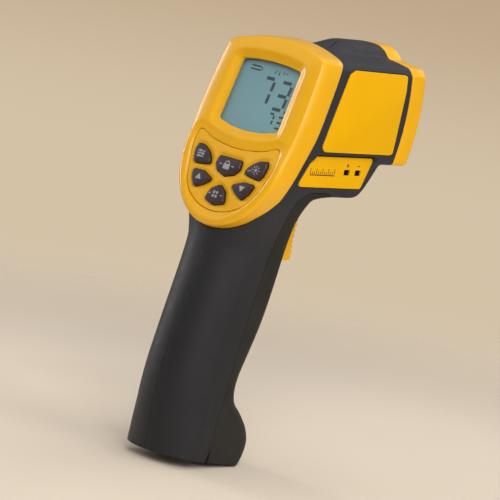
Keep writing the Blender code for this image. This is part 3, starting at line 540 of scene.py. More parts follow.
def grown_surface(name, outline, inner, top, below, sharp=40.0, centre=None, turn=12.0):
    """A solid whose top is a height field over an outline: rings shrink from the outline to its middle.

    inner holds the distances of the rings, top(points, distance) their heights, and below the rings under the edge.
    Past a distance of turn, the rings close in on centre when one is given."""
    rings = [np.asarray(ring, float) for ring in below]
    end = inner[-1] + 0.2
    for distance in inner:
        flat = shrunk(outline, distance)
        if centre is not None and distance > turn:
            flat = centre + (shrunk(outline, turn) - centre) * (end - distance) / (end - turn)
        heights = top(flat, distance)
        rings.append(np.column_stack([flat, heights]))
    return loft(name, face_points(np.array(rings)), sharp=sharp)


def spaced(fine_to, last, coarse=0.4):
    """Distances from 0 that start fine, for a rounded edge, and end at last."""
    fine = [fine_to * (1 - math.cos(math.pi / 2 * i / 12)) for i in range(13)]
    count = max(1, math.ceil((last - fine_to) / coarse))
    return fine + [fine_to + (last - fine_to) * (i + 1) / count for i in range(count)]


def rim_height(distance):
    """Height of the bezel's rim beside the keypad: a rounded edge, a crest and a slope down to the face."""
    r = np.asarray(distance, float)
    edge = -2.2 + 2.2 * np.sqrt(np.clip(1 - (1 - np.clip(r / 2.9, 0, 1)) ** 2.4, 0, 1))
    inner = BEZEL_FACE * smoothstep((r - 3.2) / 2.4)
    return np.where(r < 2.9, edge, inner)


def roll_height(distance):
    """Height of the surround beside the display: one broad roll up to the dish."""
    r = np.asarray(distance, float)
    return -1.45 * (1 - np.clip(r / 7.6, 0, 1)) ** 2 - 0.75 * (1 - np.clip(r / 1.1, 0, 1)) ** 2


def bezel_height(flat, distance):
    """Height of the bezel's face: a roll round the display, a rim round the keypad, and the display's dish."""
    to_display = distance_to(LCD_EDGE, flat)
    beside = smoothstep((flat[:, 1] - 5.0) / 13.0)
    height = beside * roll_height(distance) + (1 - beside) * rim_height(distance)
    pad = distance_to(PAD_EDGE, flat)
    height = height + (BEZEL_FACE - height) * (1 - smoothstep((pad - 0.3) / 4.2)) * beside
    height = height - 0.28 * np.exp(-((np.maximum(pad, 0.0) / 0.55) ** 2))
    rise = np.clip((to_display + 0.2) / 4.2, 0, 1)
    dish = 1 - (0.6 * rise + 0.4 * smoothstep(rise))
    return height * (1 - dish) - 1.9 * dish


LCD_EDGE = lcd_outline()
PAD_EDGE = keypad_outline(-GAP)


def display_bezel():
    below = [bezel_ring(12.0, 1.0), bezel_ring(0.6, 1.0), bezel_ring(0.15, 0.99), bezel_ring(0.0, 0.96)]
    below += [bezel_ring(0.0, share) for share in (0.8, 0.6, 0.4)]
    outline = bezel_outline()
    made = grown_surface("bezel_moulding", outline, spaced(2.9, 31.3), bezel_height, below, centre=(0.0, 35.0))
    inside = [bezel_ring(12.0, 1.0, 3.0), bezel_ring(2.2, 1.0, 3.0)]
    inside += [np.column_stack([bezel_outline(2.2), np.full(720, -4.0)])]
    inside += [np.column_stack([bezel_outline(3.4), np.full(720, -3.7)])]
    hollow = loft("hollow", face_points(np.array(inside)))
    opening = np.array(LCD_EDGE)
    window = loft("window", face_points(np.array([
        np.column_stack([np.array(inset(opening, 0.25)), np.full(len(opening), d)]) for d in (-6.5, 3.0)
    ])))
    pad = PAD_EDGE
    pocket = loft("pocket", face_points(np.array([
        np.column_stack([pad, np.full(len(pad), d)]) for d in (-2.3, 4.0)
    ])))
    below_pad = keypad_outline(1.6)
    floor = loft("floor", face_points(np.array([
        np.column_stack([below_pad, np.full(len(below_pad), d)]) for d in (-6.5, -1.8)
    ])))
    cut(made, hollow, window, pocket, floor)
    return shade(made, 42.0)


def key_outline(outline, side, distance=0.0):
    line = resampled(rounded(outline, 1.6, 10), 120)
    if side < 0:
        line = line * (-1, 1)
    return np.array(inset(line, distance)) if distance < 0 else shrunk(line, distance)


KEYS = (
    ("set", SET_OUTLINE, -1),
    ("laser", SET_OUTLINE, 1),
    ("lock", LOCK_OUTLINE, 1),
    ("up", ARROW_OUTLINE, -1),
    ("down", ARROW_OUTLINE, 1),
    ("mode", MODE_OUTLINE, 1),
)


def plate_height(flat, distance):
    """The keypad plate's top: a slight crown, a rolled edge and a dish round each key."""
    r = np.asarray(distance, float)
    edge = 0.3 * np.sqrt(np.clip(1 - (1 - np.clip(r / 0.5, 0, 1)) ** 2, 0, 1)) - 0.3
    height = BEZEL_FACE + edge + 0.15 * smoothstep(r / 10.0)
    for _, outline, side in KEYS:
        around = distance_to(key_outline(outline, side), flat)
        height = height - 0.5 * np.exp(-((np.maximum(around - 0.3, 0.0) / 1.15) ** 2))
    return height


def keypad_plate():
    outline = keypad_outline()
    below = [np.column_stack([outline, np.full(len(outline), -2.0)])]
    made = grown_surface("keypad_plate_moulding", outline, spaced(0.5, 15.2, 0.28), plate_height, below)
    for _, outline, side in KEYS:
        line = key_outline(outline, side, -GAP)
        cut(made, loft("hole", face_points(np.array([
            np.column_stack([line, np.full(len(line), d)]) for d in (-4.0, 3.0)
        ]))))
    return shade(made, 42.0)


def key_top(distance, deepest):
    """Height of a key's top at a distance in from its edge: a rounded edge and a slight crown."""
    r = np.asarray(distance, float)
    edge = np.sqrt(np.clip(1 - (1 - np.clip(r / 1.0, 0, 1)) ** 2.2, 0, 1))
    return -0.25 + 0.75 * edge + 0.2 * smoothstep(r / deepest)


def key_reach(outline, side):
    line = key_outline(outline, side)
    return float((line.max(0) - line.min(0)).min() / 2)


def key_cap(name, outline, side):
    line = key_outline(outline, side)
    flange = key_outline(outline, side, -0.5)
    rings = [np.column_stack([flange, np.full(len(line), d)]) for d in (-4.2, -2.6)]
    rings += [np.column_stack([line, np.full(len(line), d)]) for d in (-2.6, -1.4)]
    deepest = key_reach(outline, side)
    for distance in spaced(1.0, deepest - 0.08, 0.35):
        rings.append(np.column_stack([shrunk(line, distance), np.full(len(line), float(key_top(distance, deepest)))]))
    return loft(f"key_{name}", face_points(np.array(rings)), sharp=50.0)


# Casing


def hump_section(y):
    """Half of the hump's section at y as (x, z), from its foot to its crest: it narrows and sinks to the rear."""
    lift = float(np.interp(y, (-16.0, -6.0, 2.0, 8.3, 13.4, 19.7, 27.0, 70.0), (-0.1, 0.0, 0.08, 0.26, 0.62, 0.86, 1.0, 1.0)))
    foot = float(np.interp(y, (-16.0, 4.0, 18.5, 24.0, 70.0), (9.5, 10.8, 12.1, 12.3, 12.3)))
    shoulder = float(np.interp(y, (-16.0, 4.0, 14.0, 24.0, 70.0), (2.4, 2.8, 4.2, 7.6, 8.4)))
    height = HUMP_HEIGHT * lift
    share = ((foot, 0.0), (foot - 0.6, 0.16), ((foot + shoulder) / 2 + 0.3, 0.5), (shoulder, 0.8),
             (shoulder - 2.2, 0.94), (shoulder / 2 - 0.6, 0.99), (0.0, 1.0))
    return [(x, HUMP_BASE + height * rise) for x, rise in share]


def hump_solid(name, distance=0.0, start=-16.0, end=66.0, step=2.0):
    rings = []
    for y in np.arange(start, end + step / 2, step):
        half = hump_section(y)
        half = [(x * (1 - distance / 12.3), z - distance) for x, z in half]
        line = curved([half[0]] + half[1:], 5, closed=False)
        right = [(0.0, HUMP_BASE - 5.0), (line[0][0], HUMP_BASE - 5.0)] + [tuple(p) for p in line]
        rings.append([(x, y, z) for x, z in mirrored(right)])
    return loft(name, rings)


def head_solid(name, distance=0.0, low=-42.0, high=58.0):
    outline, radius = head_outline(distance, hump=False)
    return prism(name, rounded(outline, max(0.8, radius - distance), 8), low, high, place_y)


def casing_skin():
    """The casing's whole outside as one closed surface whose joins are filleted, door included."""
    skin = level_foot(loft("skin", handle_sections()))
    join(skin, head_solid("head"), hump_solid("hump"))
    remesh = skin.modifiers.new("remesh", "REMESH")
    remesh.mode = "VOXEL"
    remesh.voxel_size = 0.62 * MM
    settle(skin)
    points = points_of(skin)
    group = skin.vertex_groups.new(name="soft")
    soft = 0.35 * np.ones(len(points))
    x, y, z = np.abs(points[:, 0]), points[:, 1], points[:, 2]
    foot_line = np.exp(-(((x - 12.6) / 2.6) ** 2 + ((z - 197.4) / 2.0) ** 2)) * (z > 194)
    neck = np.exp(-(((z - 150.0) / 5.0) ** 2)) * (y < -20.0)
    crest = np.exp(-(((x - 9.0) / 2.2) ** 2)) * (z > 199.0) * 0.25
    soft = np.clip(soft + 0.65 * foot_line + 0.65 * neck + crest, 0, 1)
    for level in range(1, 11):
        chosen = np.nonzero(np.abs(soft * 10 - level) <= 0.5)[0]
        if len(chosen):
            group.add(chosen.tolist(), level / 10, "REPLACE")
    smooth = skin.modifiers.new("smooth", "SMOOTH")
    smooth.factor = 0.5
    smooth.iterations = 22
    smooth.vertex_group = "soft"
    settle(skin)
    skin.vertex_groups.clear()
    return skin


def hollow_skin():
    hollow = level_foot(loft("hollow", handle_sections(WALL, 3)), WALL)
    hump = hump_solid("hump_room", WALL, 14.0, 58.0, 4.0)
    return join(hollow, head_solid("head_room", WALL), hump)


def door_region(distance):
    edge = curved(DOOR_EDGE[3:], 8, closed=False)
    start = [np.array(p) for p in DOOR_EDGE[:3]]
    line = [tuple(p) for p in start] + [tuple(p) for p in edge]
    return inset(line + list(DOOR_FRONT), distance)


def slot_outline(place, distance=0.0, radius=0.35):
    half_y, half_z = (size / 2 for size in SOCKET_SLOT_SIZE)
    corners = rectangle(place[0] - half_y, place[0] + half_y, place[1] - half_z, place[1] + half_z)
    return inset(rounded(corners, radius, 4), distance)


def side_label_outline(distance=0.0):
    return inset(rounded(SIDE_LABEL, 2.6, 8), distance)


def range_label_outline(distance=0.0):
    return inset(rounded(RANGE_LABEL, 1.8, 8), distance)


def chamfer_cutter(name, outline, wall_x, depth, side, lip=0.35):
    """A recess cutter that opens out at the wall, so that the recess gets a small lead-in edge."""
    levels = ((0.0, wall_x - depth), (0.0, wall_x - lip), (-lip, wall_x), (-1.2, wall_x + 3.0))
    rings = [[(side * level, a, b) for a, b in inset(outline, distance)] for distance, level in levels]
    return loft(name, rings)


def casing_blank():
    """The casing without its bezel, nose and door: both halves still joined."""
    blank = casing_skin()
    door_blank = twin(blank, "door_blank")
    rim = [
        bezel_ring(12.0, 1.0, GAP),
        bezel_ring(-GAP, 1.0, GAP),
        bezel_ring(-GAP, 0.0),
        bezel_ring(-GAP, 0.0, -45.0),
    ]
    bezel_room = loft("bezel_room", face_points(np.array(rim)))
    heights = np.linspace(HEAD_BOTTOM - 6, 212, 30)
    curve = [(nose_y(NOSE_BACK, z) - GAP, z) for z in heights]
    nose_room = prism("nose_room", curve + [(75.0, heights[-1]), (75.0, heights[0])], -40, 40, place_x)
    door_room = prism("door_room", door_region(-GAP / 2), -30, 30, place_x)
    notch = prism("notch", DOOR_NOTCH, -30, 30, place_x)
    cut(blank, hollow_skin(), bezel_room, nose_room, door_room, notch)
    for side in (-1, 1):
        cut(blank, crest_slit(side))
    return blank, door_blank


def crest_slit(side):
    """A short slanting slit in the hump's rear ramp."""
    top, bottom = Vector((0.9, 22.4, 203.0)), Vector((5.4, 10.0, 199.9))
    along = (bottom - top).normalized()
    across = along.cross(Vector((0.0, 0.0, 1.0))).normalized() * 0.3
    rings = []
    for end in (top, bottom):
        rings.append([tuple(end + across * a + Vector((0.0, 0.0, b))) for a, b in rectangle(-1, 1, -0.9, 2.4)])
    rings = [[(side * x, y, z) for x, y, z in ring] for ring in rings]
    return loft("slit", rings)


def rods(name, radius, low, high, sides=40):
    """One cylinder along x for each casing screw, joined as one tool."""
    made = None
    for y, z in SCREWS:
        rod = turned(name, [(radius, low), (radius, high)], (y, z), place_x, sides=sides)
        made = rod if made is None else join(made, rod)
    return made


def hinge_lug(side):
    arc = [(2.0 * math.cos(a), 2.0 * math.sin(a)) for a in np.radians(np.linspace(-90, 90, 19))]
    root = [(-10.0, 2.0), (-10.0, -0.9), (-4.6, -1.8)]
    outline = [(HINGE_Y + y, HINGE_Z + z) for y, z in arc + root]
    low, high = sorted((side * 6.3, side * 10.3))
    return prism("lug", outline, low, high, place_x)


def shell(name, side, blank, boss_room):
    """One half of the casing, with its screw bosses, label recesses and hinge lug."""
    half = twin(blank, name)
    near, far = sorted((side * GAP / 2, side * 40.0))
    common(half, block("side", (near, -80, -10), (far, 80, 220)))
    bosses = common(rods("bosses", 2.8, *sorted((side * GAP / 2, side * 27.0))), boss_room, keep=True)
    join(half, bosses, hinge_lug(side))
    bore_end = 40.0 if side < 0 else SCREW_SEAT
    cut(half, rods("bores", 1.4, *sorted((-side * 1.0, side * bore_end))))
    cut(half, turned("pin_bore", [(1.15, -16), (1.15, 16)], (HINGE_Y, HINGE_Z), place_x, sides=40))
    cut(half, chamfer_cutter("side_recess", side_label_outline(-GAP), HEAD_HALF_WIDTH, 1.0, side))
    cut(half, chamfer_cutter("range_recess", range_label_outline(-GAP), BLOCK_HALF_WIDTH, 1.0, side))
    if side < 0:
        cut(half, rods("heads", 2.2, -40.0, -SCREW_SEAT))
    else:
        for place in SOCKET_SLOTS:
            cut(half, prism("slot", slot_outline(place, -0.25), 20.0, 32.0, place_x))
    return shade(half, 38.0)


def battery_door(door_blank):
    """The front of the handle: its outside is the casing's, so that the seam runs flush."""
    door = cut(door_blank, level_foot(loft("door_hollow", handle_sections(WALL, 3)), WALL))
    axis = (HINGE_Y, HINGE_Z)
    join(door, turned("knuckle", [(2.15, -15), (2.15, 15)], axis, place_x, sides=48))
    common(door, prism("region", door_region(GAP / 2), -30, 30, place_x))
    half = 6.8
    opening = rounded(rectangle(-half, half, 94.0, 125.5), 2.0, 8)
    cut(door, prism("trigger_room", opening, -20.0, 30.0, place_y))
    cut(door, turned("pin_bore", [(1.15, -24), (1.15, 16)], axis, place_x, sides=40))
    for left, right in ((-10.6, -6.0), (6.0, 10.6)):
        cut(door, block("lug_room", (left, -40.0, -2.0), (right, -30.6, 10.0)))
    return shade(door, 38.0)


# Nose, optics and laser


def nose_bezel():
    """The yellow frame round the nose: an open ring with a broad rounded front edge."""
    section = [(0.35, NOSE_BACK, 0.0), (0.08, NOSE_BACK, 0.12), (0.0, NOSE_BACK, 0.4)]
    section += [(0.0, NOSE_FRONT, -4.0)]
    section += [
        (1.5 * (1 - math.cos(a)), NOSE_FRONT, -1.5 * (1 - math.sin(a))) for a in np.radians(np.linspace(0, 90, 9))
    ]
    section += [(2.2, NOSE_FRONT, -0.12), (2.5, NOSE_FRONT, -0.45), (NOSE_WALL, NOSE_FRONT, -0.9)]
    section += [(NOSE_WALL, NOSE_BACK, 0.0)]
    rings = []
    for distance, edge, shift in section:
        outline, radius = head_outline(distance)
        rings.append([(x, nose_y(edge, z) + shift, z) for x, z in rounded(outline, max(0.9, radius - distance), 8)])
    return loft("nose_frame", rings, joined=True, sharp=38.0)


def nose_panel():
    """The dark insert inside the nose frame, with a stepped cone round the lens."""
    outline, radius = head_outline(NOSE_WALL + GAP)
    made = plate("nose_insert", rounded(outline, 1.0, 8), 50.2, 52.6, place_y, 0.3)
    centre = (0, OPTIC_Z)
    cone = [(13.6, 48.0), (13.6, 51.2), (14.3, 51.2), (15.6, 52.1), (15.9, 52.2), (16.6, 52.7), (16.6, 56.0)]
    cut(made, turned("optic_room", cone, centre, place_y))
    groove = [(18.2, 52.25), (18.2, 54.0), (18.8, 54.0), (18.8, 52.25)]
    cut(made, turned("groove", groove, centre, place_y, joined=True))
    cut(made, turned("laser_room", [(2.7, 48.0), (2.7, 51.8), (3.6, 52.7), (3.6, 56.0)], (0, LASER_Z), place_y, sides=48))
    return shade(made, 35.0)


def lens_ring():
    profile = [(13.2, 50.1), (13.2, 53.0), (12.4, 53.8), (11.9, 53.8), (11.5, 53.3), (11.0, 53.3), (10.7, 52.8),
               (10.3, 52.8), (10.0, 52.2), (9.6, 52.2), (9.6, 50.1)]
    return turned("lens_ring_turned", rounded(profile, 0.12, 2), (0, OPTIC_Z), place_y, joined=True)


def lens_barrel():
    profile = [(13.0, 22.0), (13.0, 49.8), (11.0, 49.8), (11.0, 22.0)]
    return turned("lens_barrel_turned", rounded(profile, 0.3, 2), (0, OPTIC_Z), place_y, joined=True)


def infrared_lens():
    """A plano-convex lens with a flat rim."""
    dome = [(10.4 * math.cos(a), 47.6 + 1.8 * math.sin(a)) for a in np.radians(np.linspace(2, 89.5, 24))]
    return turned("infrared_lens_turned", [(10.7, 46.2), (10.7, 47.6)] + dome, (0, OPTIC_Z), place_y, sides=96)


def laser_window():
    return turned("laser_window_turned", [(2.2, 50.4), (2.4, 50.6), (2.4, 51.8), (2.2, 52.0)], (0, LASER_Z), place_y, sides=48)


# Labels and printed marks


def labels():
    made = []
    for side, word in ((-1, "left"), (1, "right")):
        pair = (
            ("side", side_label_outline(), HEAD_HALF_WIDTH, []),
            ("range", range_label_outline(), BLOCK_HALF_WIDTH, SOCKET_SLOTS if side > 0 else []),
        )
        for kind, outline, outer, slots in pair:
            film = plate(f"{kind}_film_{word}", outline, outer - 0.7, outer, place_x, 0.16, 3)
            for place in slots:
                cut(film, prism("slot", slot_outline(place), 20.0, 32.0, place_x))
            if side < 0:
                mirror_x(film)
            shade(film, 30.0)
            made.append((film, f"{kind}_label_{word}"))
    return made


def mirror_x(obj):
    obj.data.transform(Matrix.Diagonal((-1.0, 1.0, 1.0, 1.0)))
    obj.data.flip_normals()
    return obj


def thin_marks(name, outlines, low, high, place):
    """Flat printed marks, each a separate low prism."""
    points, faces = [], []
    for outline in outlines:
        line = [tuple(p) for p in outline]
        if area_of(line) < 0:
            line = line[::-1]
        count, start = len(line), len(points)
        points += [place(a, b, low) for a, b in line] + [place(a, b, high) for a, b in line]
        faces.append([start + i for i in reversed(range(count))])
        faces.append([start + count + i for i in range(count)])
        for i in range(count):
            j = (i + 1) % count
            faces.append([start + i, start + j, start + count + j, start + count + i])
    return add_mesh(name, points, faces)


def bar(a, b, width):
    """The outline of a straight stroke from a to b."""
    a, b = Vector(a), Vector(b)
    across = Vector((-(b - a).y, (b - a).x)).normalized() * width / 2
    return [tuple(a - across), tuple(b - across), tuple(b + across), tuple(a + across)]


def arc_stroke(centre, radius, start, end, width, steps=16):
    """The outline of a curved stroke."""
    angles = [math.radians(start + (end - start) * i / steps) for i in range(steps + 1)]
    outer = [(centre[0] + (radius + width / 2) * math.cos(a), centre[1] + (radius + width / 2) * math.sin(a)) for a in angles]
    inner = [(centre[0] + (radius - width / 2) * math.cos(a), centre[1] + (radius - width / 2) * math.sin(a)) for a in angles]
    return outer + inner[::-1]


def label_marks():
    """A tick scale, and plus and minus signs over the socket's slots."""
    marks = [bar((-11.4, 142.2), (6.4, 142.2), 0.4)]
    for i in range(13):
        y = -11.2 + 17.4 * i / 12
        marks.append(bar((y, 142.2), (y, 145.4 if i % 3 == 0 else 144.0), 0.42))
    plus, minus = (SOCKET_SLOTS[0][0], 147.3), (SOCKET_SLOTS[1][0], 147.3)
    marks.append(bar((plus[0] - 0.95, plus[1]), (plus[0] + 0.95, plus[1]), 0.45))
    marks.append(bar((plus[0], plus[1] - 0.95), (plus[0], plus[1] + 0.95), 0.45))
    marks.append(bar((minus[0] - 0.95, minus[1]), (minus[0] + 0.95, minus[1]), 0.45))
    return thin_marks("range_marks", marks, 25.95, 26.02, place_x)


SEGMENTS = {
    "a": ((0.12, 1.0), (0.88, 1.0)),
    "b": ((1.0, 0.9), (1.0, 0.56)),
    "c": ((1.0, 0.44), (1.0, 0.1)),
    "d": ((0.12, 0.0), (0.88, 0.0)),
    "e": ((0.0, 0.1), (0.0, 0.44)),
    "f": ((0.0, 0.56), (0.0, 0.9)),
    "g": ((0.12, 0.5), (0.88, 0.5)),
}
DIGITS = {"7": "abc", "3": "abcdg", "8": "abcdefg"}


def digit_strokes(digit, left, foot, width, height, stroke):
    """Seven-segment strokes, cut square and leaning slightly."""
    lean = 0.03 * height
    strokes = []
    for key in DIGITS[digit]:
        (u0, w0), (u1, w1) = SEGMENTS[key]
        ends = []
        for u, w in ((u0, w0), (u1, w1)):
            x = left + stroke / 2 + u * (width - stroke) + lean * w
            v = foot + stroke / 2 + w * (height - stroke)
            ends.append((x, v))
        strokes.append(bar(ends[0], ends[1], stroke))
    return strokes


def display_marks():
    """What the display shows: a large and a small reading, a battery mark and small signs."""
    strong = digit_strokes("7", -4.4, 31.3, 7.7, 14.9, 1.6) + digit_strokes("3", 5.9, 31.1, 8.1, 14.9, 1.6)
    strong += [rectangle(14.9, 16.1, 31.0, 32.2)]
    strong += digit_strokes("7", 6.5, 23.6, 4.1, 6.4, 0.95) + digit_strokes("3", 12.1, 22.9, 4.5, 6.4, 0.95)
    strong += [bar((-13.9, 49.6), (-8.0, 49.6), 0.75), bar((-13.9, 47.9), (-8.0, 47.9), 0.75)]
    strong += [bar((-7.3, 48.1), (-7.3, 49.4), 0.6)]
    faint = [bar((0.8, 48.0), (2.0, 49.8), 0.55), bar((3.0, 48.0), (4.2, 48.0), 0.55), bar((3.6, 48.0), (3.6, 49.8), 0.55)]
    faint += [bar((6.2, 48.4), (6.2, 50.2), 0.55), bar((7.4, 49.2), (8.8, 49.2), 0.55)]
    return strong, faint


def key_marks(name):
    """The sign printed on a key, in face coordinates."""
    if name == "lock":
        centre = (0.0, -0.4)
        body = rectangle(-1.9, 1.9, -2.3, 0.2)
        return [body, arc_stroke((0.0, 0.4), 1.25, 0, 180, 0.5), bar((-1.25, 0.5), (-1.25, 0.0), 0.5),
                bar((1.25, 0.5), (1.25, 0.0), 0.5), bar((-4.4, centre[1]), (-3.0, centre[1]), 0.5),
                bar((3.0, centre[1]), (4.4, centre[1]), 0.5)]
    if name == "set":
        return [bar((-19.7, v), (-15.2, v), 0.5) for v in (2.9, 1.6, 0.3)] + [
            rectangle(-18.6, -17.8, 2.2, 3.6), rectangle(-16.6, -15.8, 0.9, 2.3), rectangle(-18.6, -17.8, -0.4, 1.0)]
    if name == "laser":
        rays = [bar((17.4 + 1.3 * math.cos(a), 1.1 + 1.3 * math.sin(a)), (17.4 + 2.3 * math.cos(a), 1.1 + 2.3 * math.sin(a)), 0.4)
                for a in np.radians(np.arange(0, 360, 45))]
        return rays + [circle_at((17.4, 1.1), 0.75), bar((12.9, -0.3), (14.9, 0.4), 0.45)]
    if name == "up":
        return [[(-15.2, -10.2), (-11.7, -10.2), (-13.45, -7.4)]]
    if name == "down":
        return [[(11.7, -7.8), (15.2, -7.8), (13.45, -10.6)]]
    tiles = [rectangle(x, x + 1.2, v, v + 1.2) for x in (-1.5, 0.3) for v in (-16.4, -14.6)]
    return tiles + [bar((-4.1, -14.9), (-3.0, -14.9), 0.45), bar((3.0, -14.9), (4.1, -14.9), 0.45)]


def circle_at(centre, radius, sides=24):
    return [(x + centre[0], y + centre[1]) for x, y in circle(radius, sides)]


def drop_on(marks, target, lift=0.02):
    """Lays flat marks on a domed key: each vertex goes to the key's surface along the face's normal."""
    bpy.context.view_layer.update()
    out = Vector(face_points([(0, 0, 1)])[0] - face_points([(0, 0, 0)])[0])
    mesh = marks.data
    for vertex in mesh.vertices:
        start = vertex.co + out * 0.01
        hit, place, _, _ = target.ray_cast(start, -out, distance=0.03)
        if hit:
            vertex.co = place + out * lift * MM
    mesh.update()
    return marks


def flat_marks(name, outlines, level):
    """Printed marks as one face sheet each."""
    shape = bmesh.new()
    for outline in outlines:
        line = [tuple(p) for p in outline]
        if area_of(line) < 0:
            line = line[::-1]
        corners = [shape.verts.new(Vector(place_face(x, v, level)) * MM) for x, v in line]
        shape.faces.new(corners)
    bmesh.ops.triangulate(shape, faces=shape.faces)
    for _ in range(2):
        long_edges = [e for e in shape.edges if e.calc_length() > 0.7 * MM]
        bmesh.ops.subdivide_edges(shape, edges=long_edges, cuts=1, use_grid_fill=False)
        bmesh.ops.triangulate(shape, faces=shape.faces)
    mesh = bpy.data.meshes.new(name)
    shape.to_mesh(mesh)
    shape.free()
    obj = bpy.data.objects.new(name, mesh)
    bpy.context.scene.collection.objects.link(obj)
    return obj


# Trigger, pins and screws


def trigger_profile():
    """Side view of the trigger: a pivot eye, a toothed finger face and a tail to the switch."""
    eye = [
        (TRIGGER_Y + 3.4 * math.cos(a), TRIGGER_Z + 3.4 * math.sin(a))
        for a in np.radians(np.linspace(20, 188, 22))
    ]
    tail = [(-14.6, 122.0), (-14.4, 104.0), (-13.8, 101.2), (-11.9, 99.0), (-7.6, 98.0), (-1.0, 97.2)]
    toe = [(5.4, 96.6), (8.2, 96.6), (9.9, 97.2), (10.8, 98.4)]
    face = []
    top_z, bottom_z = 115.6, 100.0
    teeth = 6
    for i in range(teeth):
        for share, depth in ((0.0, 0.55), (0.1, 0.15), (0.22, 0.0), (0.5, 0.0), (0.62, 0.15), (0.72, 0.55), (0.8, 0.75), (0.92, 0.75)):
            z = bottom_z + (top_z - bottom_z) * (i + share) / teeth
            hollow = 1.2 * math.sin(math.pi * (z - bottom_z) / (top_z - bottom_z + 6.0))
            lean = 1.4 * (z - bottom_z) / (top_z - bottom_z)
            face.append((10.9 - hollow + lean - depth, z))
    crown = [(11.5, 116.2), (10.9, 117.4), (9.2, 118.4), (5.8, 119.4), (2.0, 120.4), (-6.9, 123.4)]
    return eye + tail + toe + face + crown


def trigger():
    made = prism("trigger_moulding", trigger_profile(), -6.0, 6.0, place_x)
    bevelled(made, 0.55, 4, 60.0)
    centre = (TRIGGER_Y, TRIGGER_Z)
    cut(made, turned("bore", [(1.75, -20), (1.75, 20)], centre, place_x, sides=48))
    cut(made, turned("spring_room", [(5.4, -1.9), (5.4, 1.9)], centre, place_x, sides=48))
    return shade(made, 45.0)


def pin(name, centre, radius, half):
    profile = [(radius - 0.3, -half), (radius, -half + 0.3), (radius, half - 0.3), (radius - 0.3, half)]
    return turned(name, profile, centre, place_x, sides=40)


def screw(name, centre):
    """A pan-head screw with a cross recess, its head in the left half's counterbore."""
    head = -SCREW_SEAT - GAP
    profile = [(0.3, head - 2.25), (1.1, head - 2.2), (1.6, head - 1.95), (1.9, head - 1.5), (1.9, head)]
    profile += [(1.1, head), (1.1, SCREW_SEAT - 1.6), (0.5, SCREW_SEAT - 0.6)]
    made = turned(name, profile, centre, place_x, sides=36)
    y, z = centre
    for turn in (0.6, 0.6 + math.pi / 2):
        along = Vector((math.cos(turn), math.sin(turn)))
        across = Vector((-along.y, along.x))
        corners = [along * a * 1.15 + across * b * 0.24 for a, b in ((-1, -1), (1, -1), (1, 1), (-1, 1))]
        slot = [(y + c.x, z + c.y) for c in corners]
        cut(made, prism("slot", slot, head - 4.0, head - 1.2, place_x))
    return shade(made, 30.0)


# Materials. Texture coordinates are the frame's millimetres, so a scale of 2 repeats every half millimetre.


